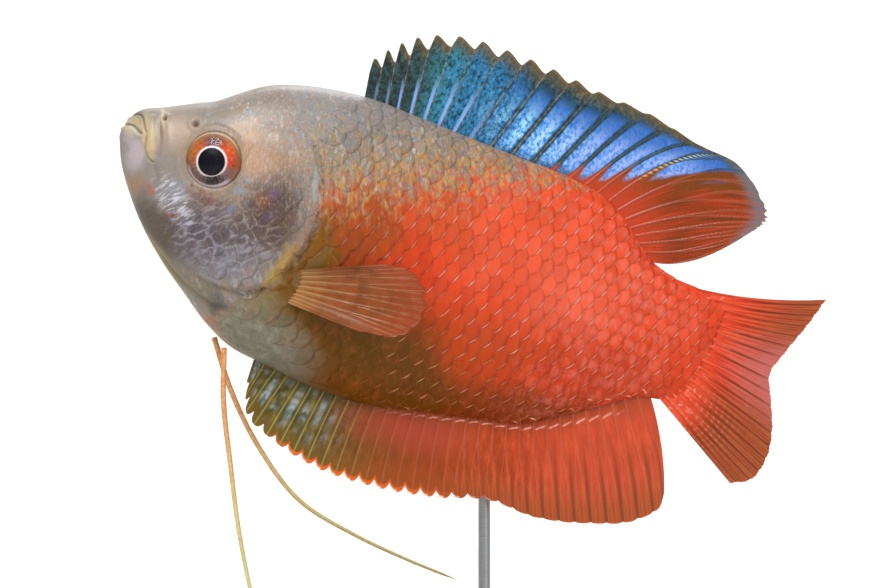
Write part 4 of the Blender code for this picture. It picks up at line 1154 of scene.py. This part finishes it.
def anal_look():
    """Anal fin: olive with pale patches in front, red behind, and a beaded margin."""
    look = Look("anal_red")
    across, out, gap = look.layers("fin")
    u, _, w = look.place.split()
    f = across % 1
    grain = flat_place(across, out * 2).noise(2.2, 4, 0.65)
    red = grain.picks((0.3, "8e3008"), (0.5, "b43c12"), (0.65, "cc4e22"), (0.8, "dc7044"))
    red = mix(u.ramp(34, 52), mix(0.7, red, "8c4a14"), red)
    red = mix(u.ramp(46, 54, 0.4), red, "e0583c")
    patchy = flat_place((across - f) * 7.3, w * 0.45).noise(1.4)
    pale = patchy.ramp(0.36, 0.66) * u.ramp(33, 26, 0.7) * f.ramp(0.15, 0.4) * f.ramp(0.9, 0.6)
    pale *= out.ramp(0.05, 0.3) * out.ramp(0.95, 0.6) * grain.ramp(0.32, 0.5, 1, 0.35)
    olive = grain.picks((0.35, "3c3a14"), (0.5, "5c5020"), (0.7, "80702c"))
    olive = mix(pale, olive, mix(grain.ramp(0.4, 0.6), "8ca4ac", "b8ccd4"))
    front = (look.place.noise(0.35) * 6 + u).ramp(30.5, 42)
    blush = flat_place(u, w).patch((37.5, -17.5), (9, 3.2), 8)
    # Painted highlights of the small sheath scales along the fin's base
    sheath_highlight = abs(out - (f * -0.035 + 0.15)).ramp(0.014, 0.002) * grain.ramp(0.3, 0.6, 1, 0.3)
    sheath_highlight *= f.ramp(0.05, 0.3) * f.ramp(1, 0.75) * u.ramp(32, 40) * u.ramp(58, 54, 0.9)
    near = abs((across + 0.5) % 1 - 0.5)
    bead = out.ramp(0.93, 0.96) * u.ramp(46, 38) * u.ramp(23, 28)
    rim = out.ramp(0.97, 0.985) * u.ramp(50, 40, 0.9) * f.ramp(0.5, 0.65) * u.ramp(25, 29)
    body = coats(mix(front, olive, red),
                 (blush * 0.9, "c84e38"),
                 (out.ramp(0.62, 0.95, 0.75), mix(front, "74581c", "a04c1c")),
                 (out.ramp(0.25, 0, 0.6), mix(front, "544420", "8a3c12")),
                 (sheath_highlight, "f4b0a4"),
                 (gap.ramp(0.12, 0.02) * u.ramp(28, 36, 0.28, 0.6), mix(front, "b0a45c", "d87048")),
                 (near.ramp(0.3, 0.48) * out.ramp(0.2, 0.7) * u.ramp(44, 52, 0.7), "7a3a10"),
                 (bead, "e2641c"),
                 (rim, "ffe6d4"))
    return finish_fin(look, body, grain, gap, out, (0.3, 0.7, 0.3, 0.42), (0.35, 6e-5))


def caudal_look():
    """Tail fin: red at the root, mauve at the margin, with dark grooves and pale dots."""
    look = Look("caudal_red")
    across, out, gap = look.layers("fin")
    flow = flat_place(across, out * 1.6)
    grain = flow.noise(2, 4, 0.6)
    red = coats(grain.picks((0.3, "c02c10"), (0.5, "da3f1e"), (0.65, "e85a3c"), (0.8, "e87a5c")),
                (across.ramp(8, 14) * out.ramp(0.2, 0.6, 0.92, 0.1), "783604"),
                (out.ramp(0.4, 0.1, 0.8), mix(grain.ramp(0.35, 0.65), "dc4826", "ea6242")))
    rusty = grain.picks((0.3, "642f06"), (0.5, "7a3e0c"), (0.7, "985626"))
    mauve = mix(abs(across - 7.5).ramp(5, 1), rusty, "b06868")
    groove = abs(across % 1 - 0.5).ramp(0.2, 0.04) * out.ramp(0.28, 0.6, 0.9)
    groove *= flow.noise(0.7, 1).ramp(0.35, 0.6, 1, 0.5) * out.ramp(0.85, 1, 0.4, 1)
    dots = (out * 110).math("SINE").ramp(0.2, 0.9) * gap.ramp(0.2, 0.05)
    dots *= across.ramp(11, 13.5) * out.ramp(0.8, 0.4, 0.22)
    dashes = flat_place(across * 0.9, across * 0.35 + out * 16).noise(1.5, 1, 0.4)
    dots = dots.math("MAXIMUM", dashes.ramp(0.6, 0.7) * out.ramp(0.4, 0.12, 0.75))
    body = coats(red, ((grain * 0.4 + out).ramp(0.55, 1.1, 0.9), mauve),
                 (groove, "64280a"),
                 (gap.ramp(0.2, 0.04, 0.3), "ee6a44"),
                 (dots, "ffa898"))
    return finish_fin(look, body, grain, gap, out, (0.3, 0.7, 0.3, 0.42), (0.35, 6e-5))


def pectoral_look():
    look = Look("pectoral_clear")
    _, out, gap = look.layers("fin")
    grain = look.place.noise(0.9)
    body = coats(mix(grain.ramp(0.3, 0.7), "82461c", "965228"),
                 ((grain * 0.3 + out).ramp(0.75, 1.1, 0.6), "a84424"),
                 (gap.ramp(0.08, 0.02) * grain.ramp(0.35, 0.6, 0.55, 0.15), "bc8460"),
                 (gap.ramp(0.3, 0.1) * out.ramp(0.5, 0.15, 0.75), "ac8450"))
    return finish_fin(look, body, grain, gap, out, (0.3, 0.7, 0.3, 0.4), (0.12, 3e-5),
                      Alpha=out.ramp(0.1, 0.6, 0.84, 1))


# Iris round the pupil, from the front of the eye by its underside and back over the top: share, colour
IRIS_TINTS = [
    (0.0, "b8642c"), (0.1, "94705f"), (0.19, "86686a"), (0.29, "30323c"), (0.36, "2c2e38"), (0.42, "86747e"),
    (0.49, "a87070"), (0.53, "d84410"), (0.66, "e0500e"), (0.72, "a04030"), (0.78, "3a2c44"), (0.83, "6a4050"),
    (0.9, "c05a20"), (1.0, "b8642c"),
]


def eye_look():
    look = Look("eye_iris")
    a, b, _ = look.layers("iris")
    a -= PUPIL[0] / EYE_RADIUS
    b -= PUPIL[1] / EYE_RADIUS
    r = (a * a + b * b) ** 0.5
    turn = b.math("ARCTAN2", a)
    fibre = flat_place(turn * 5, r * 4).noise(2, 3, 0.6)
    body = (turn * (0.5 / math.pi) + 0.5).picks(*IRIS_TINTS)
    width = abs(turn + 1.1).ramp(0.25, 0.9, 0.552, 0.505)
    ring = r.ramp(0.47, 0.482) * (r - width).ramp(0.02, -0.02)
    body = coats(body, (fibre.ramp(0.4, 0.7, 0.45), mix(0.5, body, "f8b890")),
                 (fibre.ramp(0.45, 0.3, 0.4), "3a1c18"),
                 (r.ramp(0.76, 0.88, 0.6), "a8824e"),
                 (r.ramp(0.76, 0.82) * r.ramp(0.93, 0.88) * b.ramp(-0.3, -0.5), "dccfd8"),
                 (r.ramp(0.95, 0.98, 0.8) * b.ramp(0.3, 0.55), "d0bfa4"),
                 (ring, mix(fibre.ramp(0.4, 0.6), "ecdce4", "fff8f8")),
                 (r.ramp(0.48, 0.468), "070818"))
    return look.finish(body, fibre.ramp(0.3, 0.7, 0.4, 0.5), fibre.bump(0.35, 6e-5), 0.15)


def cornea_look():
    """Clear wet layer over the iris: see-through, with its own gloss."""
    look = Look("eye_cornea")
    haze = look.place.noise(1.4)
    gloss = add("BsdfGlossy", None, haze.ramp(0.3, 0.7, 0.08, 0.03))
    feed(gloss.socket.node.inputs["Normal"], haze.bump(0.05, 5e-5))
    clear = add("BsdfTransparent", tree=look.tree)
    blend = add("MixShader", add("Fresnel", 1.25, tree=look.tree), clear, gloss)
    look.tree.nodes.remove(look.tree.nodes["Principled BSDF"])
    feed(look.tree.nodes["Material Output"].inputs["Surface"], blend)
    return look.material


def feeler_look(name):
    look = Look(name)
    grain = look.place.noise(3, 3, 0.6)
    tint = mix(look.layer("run").ramp(0.1, 0.6), "d68a4a", "c9b878")
    tint = mix(grain.ramp(0.4, 0.7, 0.4), tint, "e8dcae")
    return look.finish(tint, grain.ramp(0.3, 0.7, 0.3, 0.45), grain.bump(0.3, 5e-5))


def wood_look():
    look = Look("wood_dark")
    bend = look.raw_place.noise(40)
    grain = look.raw_place.stretch(60, 900, 300).noise(1, 4, 0.65)
    bands = look.raw_place.stretch(12, 190, 60).noise(1)
    tint = mix(bands.ramp(0.35, 0.65), "2a1810", "4a2c1a")
    tint = mix(grain.ramp(0.45, 0.7, 0.6), tint, "1a0f0a")
    return look.finish(tint, bend.ramp(0.3, 0.7, 0.45, 0.32), grain.bump(0.2, 8e-5), 0.5, 0.35, 0.2)


def steel_look():
    look = Look("steel_brushed")
    lines = look.raw_place.stretch(300, 300, 9000).noise(1, 3, 0.6)
    return look.finish(mix(lines, "8a8c90", "b8babd"), lines.ramp(0.3, 0.7, 0.42, 0.28),
                       lines.bump(0.15, 3e-5), Metallic=1)


def stage_look():
    look = Look("stage_paper")
    grain = look.raw_place.noise(60, 3, 0.6)
    return look.finish(mix(grain, "e3e1dc", "ebe9e5"), 0.75, None)


def build_stage():
    """Pale floor that sweeps up into a backdrop."""
    turns = [math.radians(90 * k / 12) for k in range(13)]
    sweep = [(0.5 + 0.5 * math.sin(turn), 0.5 * (1 - math.cos(turn))) for turn in turns]
    profile = [(-1.2, 0.0), (0.5, 0.0), *sweep, (1.0, 1.8)]
    points = [(x, y, z) for y, z in profile for x in (-2.0, 2.0)]
    faces = [(2 * k, 2 * k + 1, 2 * k + 3, 2 * k + 2) for k in range(len(profile) - 1)]
    mesh = bpy.data.meshes.new("stage_sweep")
    mesh.from_pydata(points, [], faces)
    mesh.shade_smooth()
    mesh.materials.append(stage_look())
    sweep = place_object(bpy.data.objects.new("stage_sweep", mesh))


def place_object(obj, place=(0, 0, 0), target=None):
    """Put an object in the scene, turned to face its target."""
    obj.location = place
    if target:
        obj.rotation_euler = (Vector(target) - Vector(place)).to_track_quat("-Z", "Y").to_euler()
    bpy.context.scene.collection.objects.link(obj)
    return obj


def add_light(name, place, size, power, tint, target=(0, 0, 0.04)):
    data = bpy.data.lights.new(name, "AREA")
    data.shape = "DISK"
    data.size = size
    data.energy = power
    data.color = tint
    place_object(bpy.data.objects.new(name, data), place, target)


def build_camera_and_light():
    """Level camera square to the fish's side, three soft lights, one for the backdrop and a dim sky."""
    data = bpy.data.cameras.new("camera")
    data.sensor_width = SENSOR
    data.lens = SENSOR * VIEW_DISTANCE / VIEW_WIDTH
    data.clip_start = 0.01
    scene = bpy.context.scene
    place, target = [(VIEW_X * MM, y * MM, VIEW_Z * MM) for y in (-VIEW_DISTANCE, 0)]
    scene.camera = place_object(bpy.data.objects.new("camera", data), place, target)
    add_light("key", (-0.14, -0.34, 0.5), 0.28, 2.9, (1.0, 0.97, 0.93))
    add_light("fill", (0.4, -0.5, 0.16), 0.5, 0.75, (0.95, 0.97, 1.0))
    add_light("rim", (0.1, 0.35, 0.5), 0.4, 0.9, (0.95, 0.98, 1.0))
    add_light("backdrop", (0.0, 0.45, 0.75), 0.6, 6.0, (1.0, 1.0, 1.0), (0, 1.0, 0.2))
    scene.world = bpy.data.worlds.new("studio")
    scene.world.use_nodes = True
    background = scene.world.node_tree.nodes["Background"]
    background.inputs["Color"].default_value = (0.92, 0.95, 1.0, 1)
    background.inputs["Strength"].default_value = 0.3
    scene.view_settings.view_transform = "Standard"


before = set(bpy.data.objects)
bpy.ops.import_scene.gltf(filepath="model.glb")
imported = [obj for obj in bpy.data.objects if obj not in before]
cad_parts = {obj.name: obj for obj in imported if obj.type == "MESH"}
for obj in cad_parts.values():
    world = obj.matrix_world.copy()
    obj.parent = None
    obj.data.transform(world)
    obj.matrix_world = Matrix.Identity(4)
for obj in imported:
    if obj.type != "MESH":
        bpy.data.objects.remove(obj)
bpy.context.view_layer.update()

build_camera_and_light()
build_stage()
shared_markings = build_markings()
build_skin(skin_look(shared_markings))
build_coat(scale_look(shared_markings))
build_dorsal(dorsal_look())
build_anal(anal_look())
build_caudal(caudal_look())
build_pectorals(pectoral_look())
iris, cornea = eye_look(), cornea_look()
for eye_label, eye_side in SIDES:
    build_eye(eye_label, eye_side, iris, cornea)
for feeler_label, feeler_shape in FEELERS.items():
    build_feeler(feeler_label, feeler_shape, feeler_look(f"feeler_{feeler_label}"))
build_base(wood_look())
build_rod(steel_look())
